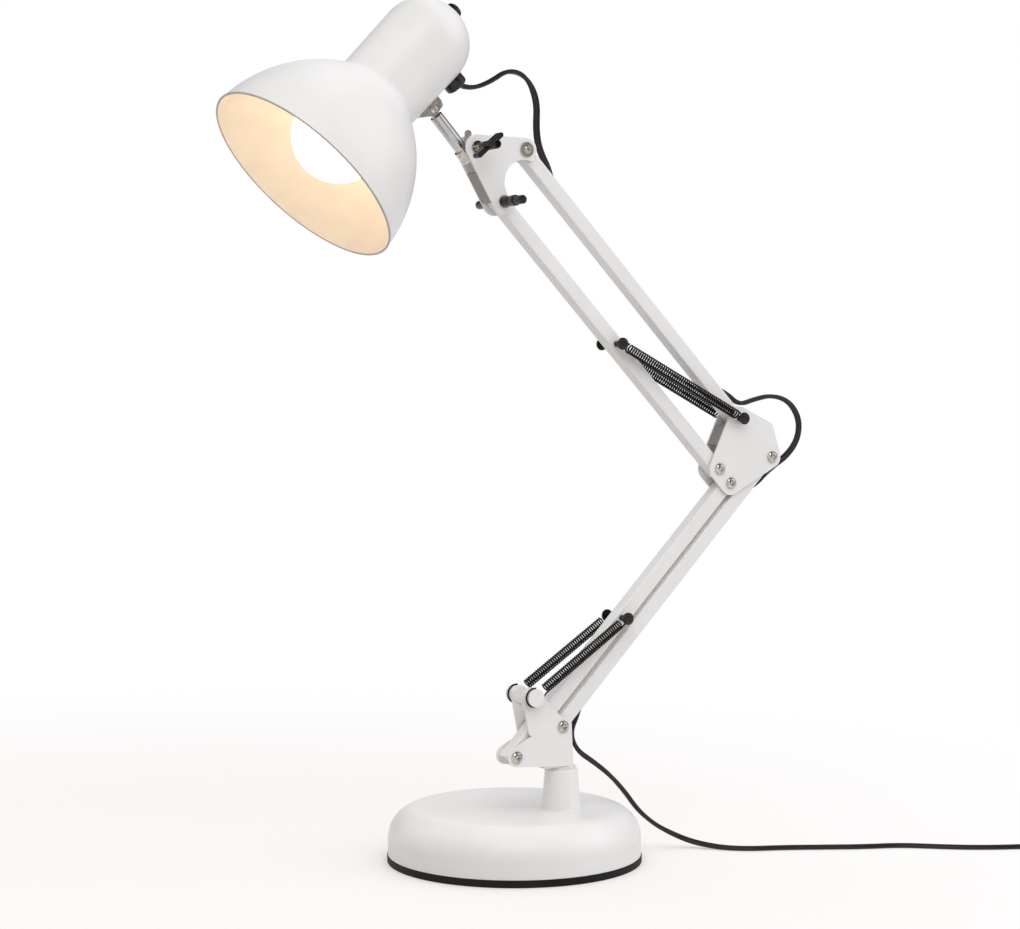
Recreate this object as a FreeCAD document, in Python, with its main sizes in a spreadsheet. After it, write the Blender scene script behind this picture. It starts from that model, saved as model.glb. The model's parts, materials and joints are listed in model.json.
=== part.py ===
import FreeCAD, Part
import math
import os
import re
import Sketcher
from FreeCAD import Placement, Rotation, Vector

# A swing-arm desk lamp: round weighted base, two spring-balanced parallelogram arms, a bell shade.
# Millimetres. The origin is the centre of the base's underside, X runs along the arms' plane,
# Y points away from the side that faces the viewer, and Z is up.

os.makedirs("parts", exist_ok=True)
doc = FreeCAD.newDocument("swing_arm_lamp")
sheet = doc.addObject("Spreadsheet::Sheet", "Sizes")

# Driving sizes, a group for each part of the lamp.
SIZES = {
    # the round base
    "base_radius": 85.0,
    "base_height": 36.0,
    "base_shoulder": 20.0,
    "base_wall": 1.2,
    "foot_proud": 0.5,
    "foot_height": 5.0,
    "foot_floor": 1.5,
    "plate_thick": 1.5,
    "weight_inset": 7.0,
    "weight_top": 27.0,
    "weight_well": 20.0,
    "base_screw_ring": 60.0,
    "base_screw_radius": 2.0,
    "base_screw_long": 12.0,
    "base_screw_slack": 1.0,
    # the post that carries the arms, off the middle of the base
    "post_x": 22.0,
    "post_y": -24.0,
    "post_high": 27.0,
    "post_foot_radius": 13.0,
    "post_top_radius": 11.0,
    "post_tail_radius": 9.0,
    "post_tail_long": 13.0,
    "ring_nut_flats": 26.0,
    "ring_nut_thick": 6.0,
    "bush_wall": 1.45,
    "bush_flange_radius": 10.0,
    "bush_flange_thick": 1.0,
    "spindle_radius": 5.0,
    "spindle_neck": 3.0,
    "spindle_long": 38.0,
    "spindle_head": 4.2,
    "spindle_head_high": 1.5,
    "swivel_washer_radius": 9.5,
    "swivel_washer_thick": 1.0,
    # square tube arms, the same length upper and lower to half a millimetre
    "bar_side": 10.0,
    "bar_wall": 1.0,
    "bar_corner": 1.0,
    "bar_past_pivot": 4.0,
    "slot_wide": 6.6,
    "slot_long": 18.0,
    "low_slot_foot": 13.0,
    "low_slot_head": 17.0,
    "up_slot_foot": 15.0,
    "up_slot_head": 22.0,
    "bolt_radius": 2.0,
    "bush_radius": 3.4,
    # folded steel brackets
    "sheet_thick": 1.5,
    "low_gap": 1.5,
    "elbow_gap": 0.75,
    "head_gap": 0.75,
    "pivot_washer_radius": 4.6,
    "running": 0.05,
    # pivots of the lower bracket, measured from the post's axis and the floor
    "pivot_a_x": -3.5,
    "pivot_a_z": 92.0,
    "link_low_x": 36.0,
    "link_low_z": 17.5,
    "boss_x": -28.3,
    "boss_z": 113.5,
    # the lower arm from pivot to pivot, along and up
    "low_arm_x": 175.0,
    "low_arm_z": 176.0,
    # the elbow: the upper arm's outer pivot from the lower arm's, and its link
    "elbow_x": -28.5,
    "elbow_z": 27.5,
    "link_up_x": 17.0,
    "link_up_z": 35.0,
    # the upper arm from pivot to pivot
    "up_arm_x": -174.5,
    "up_arm_z": 178.5,
    # the head bracket's clamp bolt from the upper arm's end pivot
    "clamp_x": -37.5,
    "clamp_z": -0.5,
    # lobes of the plates
    "lobe_a": 6.8,
    "lobe_b": 6.3,
    "lobe_boss": 6.2,
    "lobe_c": 7.5,
    "lobe_d": 8.5,
    "lobe_e": 8.5,
    "lobe_g": 7.8,
    "low_corner_x": 3.0,
    "low_corner_radius": 1.5,
    "low_web_long": 22.0,
    "elbow_corner_x": -3.0,
    "elbow_corner_z": 20.0,
    "elbow_corner_radius": 4.5,
    "horn_root_x": -6.5,
    "horn_root_z": 2.0,
    "horn_heel_x": -24.0,
    "horn_heel_z": -2.0,
    "horn_heel_radius": 2.5,
    "elbow_web_near": 14.5,
    "elbow_web_far": 29.5,
    "head_web_near": 14.0,
    "head_web_far": 36.0,
    "scallop_x": 15.5,
    "scallop_z": 13.0,
    "scallop_radius": 15.2,
    # pivot screws and nuts
    "screw_head_radius": 4.1,
    "screw_head_high": 2.3,
    "cross_long": 3.9,
    "cross_wide": 0.9,
    "cross_deep": 1.1,
    "nut_flats": 7.0,
    "nut_thick": 3.2,
    "tail_past_nut": 1.0,
    "head_rim_share": 0.33,
    "crown_share": 0.3,
    "arch_share": 0.16,
    "bead_arch_share": 0.5,
    "gland_lip": 1.5,
    "edge_bevel": 1.0,
    # spring anchors
    "boss_radius": 5.4,
    "boss_flange": 6.1,
    "boss_inner_flange": 1.0,
    "boss_groove_from": 2.6,
    "boss_groove_wide": 2.2,
    "boss_long": 6.6,
    "pin_radius": 2.0,
    "cap_radius": 4.2,
    "cap_thick": 2.5,
    "cap_inner": 12.1,
    "pin_hook_at": 10.85,
    "low_pin_share": 0.489,
    "low_pin_out": 1.1,
    "up_pin_share": 0.485,
    "up_pin_out": 0.5,
    # extension springs
    "spring_outer": 3.5,
    "spring_wire": 0.43,
    "spring_hook_gap": 0.3,
    "spring_neck": 3.6,
    "low_spring_turns": 22,
    "up_spring_turns": 26,
    # the clamp at the head: a rod beside the bolt, held by a strap
    "rod_radius": 4.3,
    "rod_offset": 6.3,
    "rod_past_clamp": 5.5,
    "rod_chamfer": 0.8,
    "strap_wall": 1.3,
    "strap_long": 9.0,
    "strap_past_bolt": 5.5,
    "strap_tab_radius": 2.4,
    "strap_tab_reach": 10.0,
    "wing_bolt_radius": 1.9,
    "wing_bolt_head": 3.8,
    "wing_bolt_head_high": 2.4,
    "wing_washer_radius": 4.4,
    "wing_washer_thick": 1.2,
    "wing_hub_radius": 3.1,
    "wing_hub_neck": 2.7,
    "wing_hub_from": 6.3,
    "wing_hub_to": 26.0,
    "wing_bolt_reach": 21.0,
    "wing_span": 24.5,
    "wing_thick": 3.4,
    "wing_deep": 6.0,
    "wing_at": 14.0,
    "wing_turn": 41.0,
    # the head's lower pivot, a threaded rod with two grip knobs
    "grip_front_long": 24.0,
    "grip_rear_long": 19.0,
    "grip_end_radius": 2.9,
    "grip_waist_radius": 2.4,
    "grip_bulge_radius": 3.6,
    "grip_foot_radius": 3.3,
    "grip_screw_in": 3.0,
    "h_washer_radius": 4.4,
    "h_washer_thick": 0.8,
    "g_washer_radius": 5.0,
    "g_washer_thick": 1.0,
    "g_head_radius": 2.8,
    "g_head_high": 2.0,
    # the knuckle on the shade
    "eye_radius": 3.0,
    "eye_half": 2.0,
    "eye_long": 5.2,
    "ear_thick": 1.5,
    "ear_high": 3.6,
    "ear_back": 11.0,
    "ear_ahead": 8.3,
    "foot_thick": 0.8,
    "knuckle_screw_radius": 1.5,
    "knuckle_head_radius": 2.7,
    "knuckle_head_high": 1.4,
    "knuckle_nut_flats": 5.5,
    "knuckle_nut_thick": 2.0,
    # the shade, along its own axis from the crease between bell and neck
    "crease_x": -71.6,
    "crease_z": 28.55,
    "shade_lean": 46.0,
    "neck_radius": 28.85,
    "neck_top_radius": 29.85,
    "neck_long": 51.75,
    "dome_high": 27.75,
    "dome_flat_radius": 7.0,
    "bell_deep": 72.0,
    "bell_radius": 69.0,
    "bell_arc": 96.9,
    "shade_wall": 1.0,
    "rim_bead": 1.0,
    "knuckle_up": 24.9,
    "knuckle_out": 33.45,
    "gland_up": 50.1,
    "gland_radius": 7.5,
    "gland_high": 6.5,
    "gland_tail_radius": 4.6,
    "gland_tail_long": 5.0,
    "gland_bore": 2.7,
    "gland_mouth": 5.0,
    "switch_bezel_radius": 6.9,
    "switch_bezel_high": 1.6,
    "switch_neck_radius": 6.2,
    "switch_shoulder_radius": 6.8,
    "switch_shoulder_high": 3.0,
    "switch_body_radius": 9.0,
    "switch_body_long": 16.0,
    "switch_radius": 5.4,
    "switch_proud": 4.8,
    "switch_travel": 1.5,
    "switch_deep": 6.0,
    # inside the shade
    "holder_radius": 19.0,
    "holder_bore": 13.4,
    "holder_from": 10.0,
    "holder_to": 50.0,
    "holder_floor": 46.0,
    "carrier_at": 40.0,
    "carrier_thick": 1.5,
    "bulb_radius": 30.0,
    "bulb_middle": 36.0,
    "bulb_wall": 0.8,
    "bulb_neck_radius": 12.2,
    "bulb_neck_at": 15.0,
    "bulb_glass_to": 26.0,
    "bulb_cap_radius": 13.1,
    "bulb_cap_from": 16.0,
    "bulb_cap_to": 42.0,
    "bulb_cap_end": 5.2,
    "bulb_neck_turn": 38.0,
    "bulb_belly_turn": -26.0,
    "bulb_waist_in": 2.0,
    # the flat twin flex, drawn as a round tube of the same section
    "cord_radius": 2.1,
    "cord_over_face": 7.6,
    "cord_dive_near": 2.9,
    "cord_dive_far": 17.8,
    "cord_wander": 0.4,
    "cord_in_shade": 20.0,
    "cord_in_gland": 33.5,
    "cord_touchdown": 0.6,
    "bend_share": 0.45,
    "coil_inner": 20.0,
    "coil_pitch": 5.4,
    "coil_turns_a_layer": 3.75,
    "coil_layer_high": 5.0,
    "coil_start_x": 368.0,
    "coil_start_y": -177.0,
    "coil_heading": -31.4,
    "coil_tail": 26.0,
    "coil_lead": 17.0,
    "plug_long": 36.0,
    "plug_wide": 26.0,
    "plug_thick": 13.7,
    "plug_pin_radius": 2.0,
    "plug_pin_long": 19.0,
    "plug_pin_in": 8.0,
    "plug_pin_apart": 18.6,
    "plug_sleeve_radius": 4.2,
    "plug_sleeve_long": 22.0,
    # cuts run past the faces that they open by this much
    "overrun": 1.0,
}

# Places that the free cord passes: (x, z) from the post's axis and the floor, then (x, y) on the floor.
HEAD_LOOP = [
    (-69.5, 512.3), (-55.5, 517.5), (-41.5, 527.0), (-27.0, 523.5), (-18.8, 508.0), (-19.9, 487.5),
    (-16.8, 473.7),
]
ELBOW_LOOP = [
    (147.5, 304.6), (161.5, 308.8), (176.5, 311.5), (192.0, 307.5), (201.5, 295.0), (200.5, 280.5),
    (190.5, 268.5), (177.5, 261.5),
]
POST_LOOP = [
    (7.0, 86.0), (12.5, 73.5), (25.0, 65.3), (38.5, 55.3), (51.0, 42.5), (61.5, 29.0), (75.0, 17.0),
    (90.0, 7.6),
]
TOUCHDOWN = (124.0, -33.0)
FLOOR_RUN = [
    (134.0, -49.0), (150.0, -60.5), (172.0, -69.0), (198.0, -83.0), (222.0, -96.0), (247.0, -105.0),
    (265.0, -121.0), (285.0, -137.0), (310.0, -150.0), (333.0, -158.0),
]
# Degrees round a spring's hook from the coil's side, and shares of a tube that its cord bends at.
HOOK_TURNS = (310, 250, 180, 110, 45)
INSIDE_SHARES = (0.0, 0.12, 0.29, 0.5, 0.71, 0.88, 1.0)
# Shares of a grip knob's length where its foot, waist, bulge and end begin.
GRIP_FRONT_SHARES = (0.0, 0.21, 0.3, 0.38, 0.6, 1.0)
GRIP_REAR_SHARES = (0.0, 0.0, 0.0, 0.0, 0.3, 1.0)

for row, (name, number) in enumerate(SIZES.items(), start=1):
    sheet.set(f"A{row}", name)
    sheet.set(f"B{row}", str(number))
    sheet.setAlias(f"B{row}", name)
doc.recompute()


class Sheet:
    """Every size, read back from the spreadsheet."""


s = Sheet()
for name in SIZES:
    setattr(s, name, float(sheet.get(name)))

nodes = {}
X_AXIS = Vector(1, 0, 0)
Y_AXIS = Vector(0, 1, 0)
Z_AXIS = Vector(0, 0, 1)


def cell(text):
    """An expression on the sheet's aliases, as the document writes it."""
    return re.sub(r"[a-z][a-z_]+", lambda found: "Sizes." + found.group(0), text)


def bind(thing, prop, text):
    thing.setExpression(prop, cell(text))


def keep(label, thing):
    """Names a finished sub-part; its label is its node and its file."""
    thing.Label = label
    nodes[label] = thing
    return thing


def plane(body, role):
    return next(feature for feature in body.Origin.OriginFeatures if feature.Role == role)


def new_body(label, place=None):
    body = doc.addObject("PartDesign::Body", label)
    body.Label = label
    body.Placement = place or Placement()
    return body


def new_sketch(body, role, geometry, offset=None):
    """A sketch on one of the body's own planes; offset is an expression along the plane's normal."""
    sketch = body.newObject("Sketcher::SketchObject", body.Label + "_outline")
    sketch.AttachmentSupport = [(plane(body, role), "")]
    sketch.MapMode = "FlatFace"
    if offset:
        bind(sketch, "AttachmentOffset.Base.z", offset)
    for edge in geometry:
        sketch.addGeometry(edge, False)
    doc.recompute()
    return sketch


def size_radius(sketch, index, text):
    """Ties a circle of the sketch to a size on the sheet."""
    radius = sketch.Geometry[index].Radius
    made = sketch.addConstraint(Sketcher.Constraint("Radius", index, radius))
    bind(sketch, f"Constraints[{made}]", text)


def pad(body, sketch, length, middle=False, back=False):
    feature = body.newObject("PartDesign::Pad", body.Label + "_pad")
    feature.Profile = sketch
    feature.Midplane = middle
    feature.Reversed = back
    bind(feature, "Length", length)
    doc.recompute()
    return feature


def pocket(body, sketch, length=None, middle=False, back=False):
    """Cuts the sketch through the body and makes sure that it took something away."""
    before = body.Shape.Volume
    feature = body.newObject("PartDesign::Pocket", body.Label + "_cut")
    feature.Profile = sketch
    feature.Midplane = middle
    feature.Reversed = back
    bind(feature, "Length", length)
    doc.recompute()
    if not body.Shape.Volume < before:
        raise ValueError(body.Label + ": a cut took nothing away")
    return feature


def flat(point):
    return Vector(point[0], point[1], 0)


def polyline(points):
    """Closed outline of straight lines; a point of four numbers is reached by an arc through two."""
    edges = []
    last = points[-1][-2:]
    for point in points:
        if len(point) == 4:
            edges.append(Part.Arc(flat(last), flat(point[:2]), flat(point[2:])))
        elif (flat(last) - flat(point)).Length > 1e-6:
            edges.append(Part.LineSegment(flat(last), flat(point)))
        last = point[-2:]
    return edges


def arched(one, two, share):
    """Where the arc from one to two turns: right of the way there, by a share of the chord."""
    run = flat(two) - flat(one)
    middle = (flat(one) + flat(two)) / 2 + Vector(run.y, -run.x, 0) * share
    return middle.x, middle.y


def hull(circles):
    """Outline round circles (x, z, radius) given anticlockwise: arcs joined by common tangents."""
    touches = []
    for one, two in zip(circles, circles[1:] + circles[:1]):
        run = Vector(two[0] - one[0], two[1] - one[1], 0)
        along = run.normalize() if run.Length else run
        gap = math.dist(one[:2], two[:2])
        share = (one[2] - two[2]) / gap
        out = along * share + Vector(along.y, -along.x, 0) * math.sqrt(1 - share**2)
        touches.append((flat(one) + out * one[2], flat(two) + out * two[2], out))
    edges = []
    for index, circle in enumerate(circles):
        arrive, leave = touches[index - 1], touches[index]
        first = math.atan2(arrive[2].y, arrive[2].x)
        turn = (math.atan2(leave[2].y, leave[2].x) - first) % (2 * math.pi)
        middle = Vector(math.cos(first + turn / 2), math.sin(first + turn / 2), 0)
        edges.append(Part.Arc(arrive[1], flat(circle) + middle * circle[2], leave[0]))
        edges.append(Part.LineSegment(leave[0], leave[1]))
    return edges


def ring(x, z, radius):
    return Part.Circle(Vector(x, z, 0), Z_AXIS, radius)


def turned(label, profile, base, axis):
    """A turned piece: profile of (radius, along) points, revolved round axis through base."""
    body = new_body(label, Placement(base, Rotation(Z_AXIS, axis)))
    sketch = new_sketch(body, "XZ_Plane", polyline(profile))
    feature = body.newObject("PartDesign::Revolution", label + "_turning")
    feature.Profile = sketch
    feature.ReferenceAxis = (sketch, ["V_Axis"])
    feature.Angle = 360
    doc.recompute()
    return body


def washer(label, outer, inner, thick, base, axis):
    """A flat ring whose three sizes are expressions on the sheet."""
    body = new_body(label, Placement(base, Rotation(Z_AXIS, axis)))
    circles = [ring(0, 0, 2.0), ring(0, 0, 1.0)]
    sketch = new_sketch(body, "XY_Plane", circles)
    size_radius(sketch, 0, outer)
    size_radius(sketch, 1, inner)
    pad(body, sketch, thick)
    return body


def hexagon(across):
    corner = across / math.sqrt(3)
    turns = [math.radians(60 * step) for step in range(6)]
    return polyline([(corner * math.cos(turn), corner * math.sin(turn)) for turn in turns])


def nut(label, flats, bore, thick, base, axis):
    """A hexagon nut; flats is a number, bore and thick are expressions."""
    body = new_body(label, Placement(base, Rotation(Z_AXIS, axis)))
    sketch = new_sketch(body, "XY_Plane", hexagon(flats) + [ring(0, 0, 1.0)])
    size_radius(sketch, 6, bore)
    pad(body, sketch, thick)
    return body


def group(label, members):
    """Several solids of one kind that share a node."""
    together = doc.addObject("Part::Compound", label)
    together.Links = members
    doc.recompute()
    return keep(label, together)


def feature(label, shape):
    made = doc.addObject("Part::Feature", label)
    made.Shape = shape
    return keep(label, made)


# Places that the pieces share.
post = Vector(s.post_x, s.post_y, 0)
post_top = s.base_height + s.post_high


def arm_point(x, z, y=0.0):
    """A point of the arms' plane, from the post's axis and the floor."""
    return post + Vector(x, y, z)


pivot_a = (s.pivot_a_x, s.pivot_a_z)
pivot_b = (s.pivot_a_x - s.link_low_x, s.pivot_a_z - s.link_low_z)
pivot_c = (pivot_a[0] + s.low_arm_x, pivot_a[1] + s.low_arm_z)
pivot_d = (pivot_b[0] + s.low_arm_x, pivot_b[1] + s.low_arm_z)
pivot_f = (pivot_c[0] + s.elbow_x, pivot_c[1] + s.elbow_z)
pivot_e = (pivot_f[0] - s.link_up_x, pivot_f[1] - s.link_up_z)
pivot_g = (pivot_f[0] + s.up_arm_x, pivot_f[1] + s.up_arm_z)
pivot_h = (pivot_e[0] + s.up_arm_x, pivot_e[1] + s.up_arm_z)
pivot_w = (pivot_g[0] + s.clamp_x, pivot_g[1] + s.clamp_z)
low_arm_long = math.hypot(s.low_arm_x, s.low_arm_z)
up_arm_long = math.hypot(s.up_arm_x, s.up_arm_z)
low_arm_turn = math.degrees(math.atan2(s.low_arm_z, s.low_arm_x))
up_arm_turn = math.degrees(math.atan2(s.up_arm_z, s.up_arm_x))
bracket_floor = post_top + s.bush_flange_thick + s.swivel_washer_thick

# The base: rubber foot, closing plate, iron weight and the domed steel cover over them.
inside_foot = s.base_radius - s.base_wall
foot = turned(
    "base_foot",
    [
        (0, 0),
        (s.base_radius + s.foot_proud, 0),
        (s.base_radius + s.foot_proud, s.foot_height),
        (inside_foot, s.foot_height),
        (inside_foot, s.foot_floor),
        (0, s.foot_floor),
    ],
    Vector(),
    Z_AXIS,
)
keep("base_foot", foot)

plate_radius = inside_foot - 2 * s.base_wall
plate_top = s.foot_floor + s.plate_thick
shoulder_in = s.base_shoulder - s.base_wall
half_turn = math.sqrt(0.5)
shoulder_mid = (
    s.base_radius - s.base_shoulder * (1 - half_turn),
    s.base_height - s.base_shoulder * (1 - half_turn),
)
hollow_mid = (shoulder_mid[0] - s.base_wall * half_turn, shoulder_mid[1] - s.base_wall * half_turn)
cover = turned(
    "base_cover",
    [
        (0, s.base_height - s.base_wall),
        (s.base_radius - s.base_shoulder, s.base_height - s.base_wall),
        (*hollow_mid, inside_foot, s.base_height - s.base_shoulder),
        (inside_foot, s.foot_height),
        (s.base_radius, s.foot_height),
        (s.base_radius, s.base_height - s.base_shoulder),
        (*shoulder_mid, s.base_radius - s.base_shoulder, s.base_height),
        (0, s.base_height),
    ],
    Vector(),
    Z_AXIS,
)
post_hole = new_sketch(cover, "XY_Plane", [ring(s.post_x, s.post_y, 1.0)], "base_height")
size_radius(post_hole, 0, "post_tail_radius + running")
pocket(cover, post_hole, "base_wall + overrun")
keep("base_cover", cover)

closing = new_body("base_plate")
closing_outline = new_sketch(closing, "XY_Plane", [ring(0, 0, 1.0)], "foot_floor")
size_radius(closing_outline, 0, "base_radius - 3 * base_wall")
pad(closing, closing_outline, "plate_thick")
screw_turns = [math.radians(90 + 120 * step) for step in range(3)]
screw_places = [
    (s.base_screw_ring * math.cos(turn), s.base_screw_ring * math.sin(turn)) for turn in screw_turns
]
screw_holes = [ring(*place, s.base_screw_radius + s.running) for place in screw_places]
pocket(closing, new_sketch(closing, "XY_Plane", screw_holes, "foot_floor + plate_thick"),
       "plate_thick + overrun")
keep("base_plate", closing)

weight = new_body("base_weight")
weight_outline = new_sketch(weight, "XY_Plane", [ring(0, 0, 1.0)], "foot_floor + plate_thick")
size_radius(weight_outline, 0, "base_radius - weight_inset")
pad(weight, weight_outline, "weight_top - foot_floor - plate_thick")
well = new_sketch(weight, "XY_Plane", [ring(s.post_x, s.post_y, 1.0)], "weight_top")
size_radius(well, 0, "weight_well")
pocket(weight, well, "weight_top")
screw_threads = [ring(*place, s.base_screw_radius + s.running) for place in screw_places]
thread_bottom = new_sketch(weight, "XY_Plane", screw_threads, "foot_floor + plate_thick")
pocket(weight, thread_bottom, "base_screw_long", back=True)
keep("base_weight", weight)

screw_top = plate_top + s.base_screw_long - s.base_screw_slack
screw_profile = [
    (0, s.foot_floor),
    (s.base_screw_radius, s.foot_floor),
    (s.base_screw_radius, screw_top),
    (0, screw_top),
]
screws = [
    turned(f"base_screw_{number}", screw_profile, Vector(*place, 0), Z_AXIS)
    for number, place in enumerate(screw_places, start=1)
]
group("base_screws", screws)

# The post: a cone on the cover, its tail held by a ring nut under it, with a bush and the spindle.
bore = s.spindle_radius + s.running + s.bush_wall
tail_low = s.base_height - s.post_tail_long
socket = turned(
    "post_socket",
    [
        (bore, tail_low),
        (s.post_tail_radius, tail_low),
        (s.post_tail_radius, s.base_height),
        (s.post_foot_radius, s.base_height),
        (s.post_top_radius, post_top),
        (bore, post_top),
    ],
    post,
    Z_AXIS,
)
keep("post_socket", socket)
ring_nut = nut("post_ring_nut", s.ring_nut_flats, "post_tail_radius + running", "ring_nut_thick",
               post + Z_AXIS * (s.base_height - s.base_wall - s.ring_nut_thick), Z_AXIS)
keep("post_ring_nut", ring_nut)
bush_top = post_top + s.bush_flange_thick
bush = turned(
    "swivel_bush",
    [
        (s.spindle_radius + s.running, tail_low),
        (bore, tail_low),
        (bore, post_top),
        (s.bush_flange_radius, post_top),
        (s.bush_flange_radius, bush_top),
        (s.spindle_radius + s.running, bush_top),
    ],
    post,
    Z_AXIS,
)
keep("swivel_bush", bush)
web_top = bracket_floor + s.sheet_thick
spindle = turned(
    "swivel_spindle",
    [
        (0, bracket_floor - s.spindle_long),
        (s.spindle_radius, bracket_floor - s.spindle_long),
        (s.spindle_radius, bracket_floor),
        (s.spindle_neck, bracket_floor),
        (s.spindle_neck, web_top),
        (s.spindle_head, web_top),
        (s.spindle_head, web_top + s.spindle_head_high),
        (0, web_top + s.spindle_head_high),
    ],
    post,
    Z_AXIS,
)
keep("swivel_spindle", spindle)
thrust = washer("swivel_washer", "swivel_washer_radius", "spindle_radius + running",
                "swivel_washer_thick", post + Z_AXIS * bush_top, Z_AXIS)
keep("swivel_washer", thrust)


def bracket(label, plates, half, web, holes):
    """Two folded plates joined by a web: outlines in the arms' plane, half the gap between them."""
    body = new_body(label, Placement(post, Rotation()))
    for outline in plates:
        for back in (False, True):
            side = f"{half}" if not back else f"-({half})"
            pad(body, new_sketch(body, "XZ_Plane", outline, side), "sheet_thick", back=back)
    pad(body, new_sketch(body, "XZ_Plane", web), f"2 * ({half}) + sheet_thick", middle=True)
    for place, radius in holes:
        circle = new_sketch(body, "XZ_Plane", [ring(*place, 1.0)])
        size_radius(circle, 0, radius)
        pocket(body, circle, f"4 * ({half})", middle=True)
    return body


def web_strip(one, two, side, near, far, lobe):
    """The web's section: a strip along the plates' edge, lobe away from the line from one to two."""
    along = (flat(two) - flat(one)).normalize()
    out = Vector(-along.y, along.x, 0) * side
    corners = []
    for place, away in ((near, lobe - s.sheet_thick), (far, lobe - s.sheet_thick), (far, lobe), (near, lobe)):
        corner = flat(one) + along * place + out * away
        corners.append((corner.x, corner.y))
    return polyline(corners)


bolt_hole = "bolt_radius + running"
low_half = "bar_side / 2 + low_gap"
elbow_half = "bar_side / 2 + elbow_gap"
head_half = "bar_side / 2 + head_gap"
low_inner = s.bar_side / 2 + s.low_gap
elbow_inner = s.bar_side / 2 + s.elbow_gap
head_inner = s.bar_side / 2 + s.head_gap
boss = (s.boss_x, s.boss_z)
horn_root = (pivot_a[0] + s.horn_root_x, pivot_a[1] + s.horn_root_z)
corner_low = (s.low_corner_x, bracket_floor + s.low_corner_radius, s.low_corner_radius)
low_plate = hull([(*pivot_b, s.lobe_b), corner_low, (*pivot_a, s.lobe_a)])
horn_heel = (pivot_a[0] + s.horn_heel_x, pivot_a[1] + s.horn_heel_z, s.horn_heel_radius)
horn_plate = hull([(*horn_root, s.lobe_a), (*boss, s.lobe_boss), horn_heel])
low_web_end = s.low_corner_x + s.low_corner_radius
low_web = polyline([
    (low_web_end - s.low_web_long, bracket_floor),
    (low_web_end, bracket_floor),
    (low_web_end, web_top),
    (low_web_end - s.low_web_long, web_top),
])
lower = bracket("lower_bracket", [low_plate, horn_plate], low_half, low_web,
                [(pivot_a, bolt_hole), (pivot_b, bolt_hole), (boss, "pin_radius")])
rivet_hole = new_sketch(lower, "XY_Plane", [ring(0, 0, 1.0)],
                        "base_height + post_high + bush_flange_thick + swivel_washer_thick + sheet_thick")
size_radius(rivet_hole, 0, "spindle_neck")
pocket(lower, rivet_hole, "sheet_thick + overrun / 2")
keep("lower_bracket", lower)

elbow_corner = (pivot_c[0] + s.elbow_corner_x, pivot_c[1] + s.elbow_corner_z, s.elbow_corner_radius)
elbow_plate = hull([
    (*pivot_f, s.lobe_e),
    (*pivot_e, s.lobe_e),
    (*pivot_d, s.lobe_d),
    (*pivot_c, s.lobe_c),
    elbow_corner,
])
elbow_web = web_strip(pivot_e, pivot_f, 1, s.elbow_web_near, s.elbow_web_far, s.lobe_e)
elbow = bracket("elbow_bracket", [elbow_plate], elbow_half, elbow_web,
                [(place, bolt_hole) for place in (pivot_c, pivot_d, pivot_e, pivot_f)])
keep("elbow_bracket", elbow)

head_plate = hull([(*pivot_g, s.lobe_g), (*pivot_w, s.lobe_e), (*pivot_h, s.lobe_e)])
head_web = web_strip(pivot_w, pivot_h, -1, s.head_web_near, s.head_web_far, s.lobe_e)
scallop = [ring(pivot_h[0] + s.scallop_x, pivot_h[1] + s.scallop_z, 1.0)]
head_holes = [(pivot_g, bolt_hole), (pivot_h, bolt_hole), (pivot_w, "wing_bolt_radius + running")]
head = bracket("head_bracket", [head_plate], head_half, head_web, head_holes)
scallop_cut = new_sketch(head, "XZ_Plane", scallop)
size_radius(scallop_cut, 0, "scallop_radius")
pocket(head, scallop_cut, "4 * (bar_side / 2 + head_gap)", middle=True)
keep("head_bracket", head)


# The arms: square tubes, with the cord inside the outer one of each pair.
def bar(label, pivot, long_text, length, turn, gaps, slots, pin_at=None, pin_out=0.0):
    """A square tube from pivot to pivot with flanged bushes; slots are (from, to) on its outer face."""
    body = new_body(label, Placement(arm_point(*pivot), Rotation(Y_AXIS, -turn)))
    half, corner = s.bar_side / 2, s.bar_corner
    tip = corner * (1 - half_turn)
    section = []
    for across, up in ((1, -1), (1, 1), (-1, 1), (-1, -1)):
        side_end = (across * half, up * (half - corner))
        face_end = (across * (half - corner), up * half)
        enter, leave = (side_end, face_end) if across * up > 0 else (face_end, side_end)
        middle = (across * (half - tip), up * (half - tip))
        section += [enter, (*middle, *leave)]
    hollow = half - s.bar_wall
    inner = polyline([(-hollow, -hollow), (hollow, -hollow), (hollow, hollow), (-hollow, hollow)])
    outline = new_sketch(body, "YZ_Plane", polyline(section) + inner, "-bar_past_pivot")
    pad(body, outline, f"{long_text} + 2 * bar_past_pivot")
    holes = [ring(0, 0, s.bush_radius), ring(length, 0, s.bush_radius)]
    if pin_at:
        holes.append(ring(pin_at, pin_out, s.pin_radius))
    pocket(body, new_sketch(body, "XZ_Plane", holes), "2 * bar_side", middle=True)
    for near, far in slots:
        wide = s.slot_wide / 2
        stadium = hull([(near + wide, 0, wide), (far - wide, 0, wide)])
        pocket(body, new_sketch(body, "XY_Plane", stadium), "bar_side")
    keep(label, body)
    bushes = []
    bore_here = s.bolt_radius + s.running
    for along, gap in zip((0, length), gaps):
        flange = half + gap - s.running
        profile = [
            (bore_here, 0),
            (s.bush_radius, 0),
            (s.bush_radius, half),
            (s.pivot_washer_radius, half),
            (s.pivot_washer_radius, flange),
            (bore_here, flange),
        ]
        for side in (-1, 1):
            place = body.Placement.multVec(Vector(along, 0, 0))
            bushes.append(turned(f"{label}_bush_{len(bushes) + 1}", profile, place, Y_AXIS * side))
    group(label + "_bushes", bushes)
    return body


def slot_pair(length, foot, head):
    """The two slots of an outer tube, as places along it: near its foot pivot and its head pivot."""
    return [(foot, foot + s.slot_long), (length - head - s.slot_long, length - head)]


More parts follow.
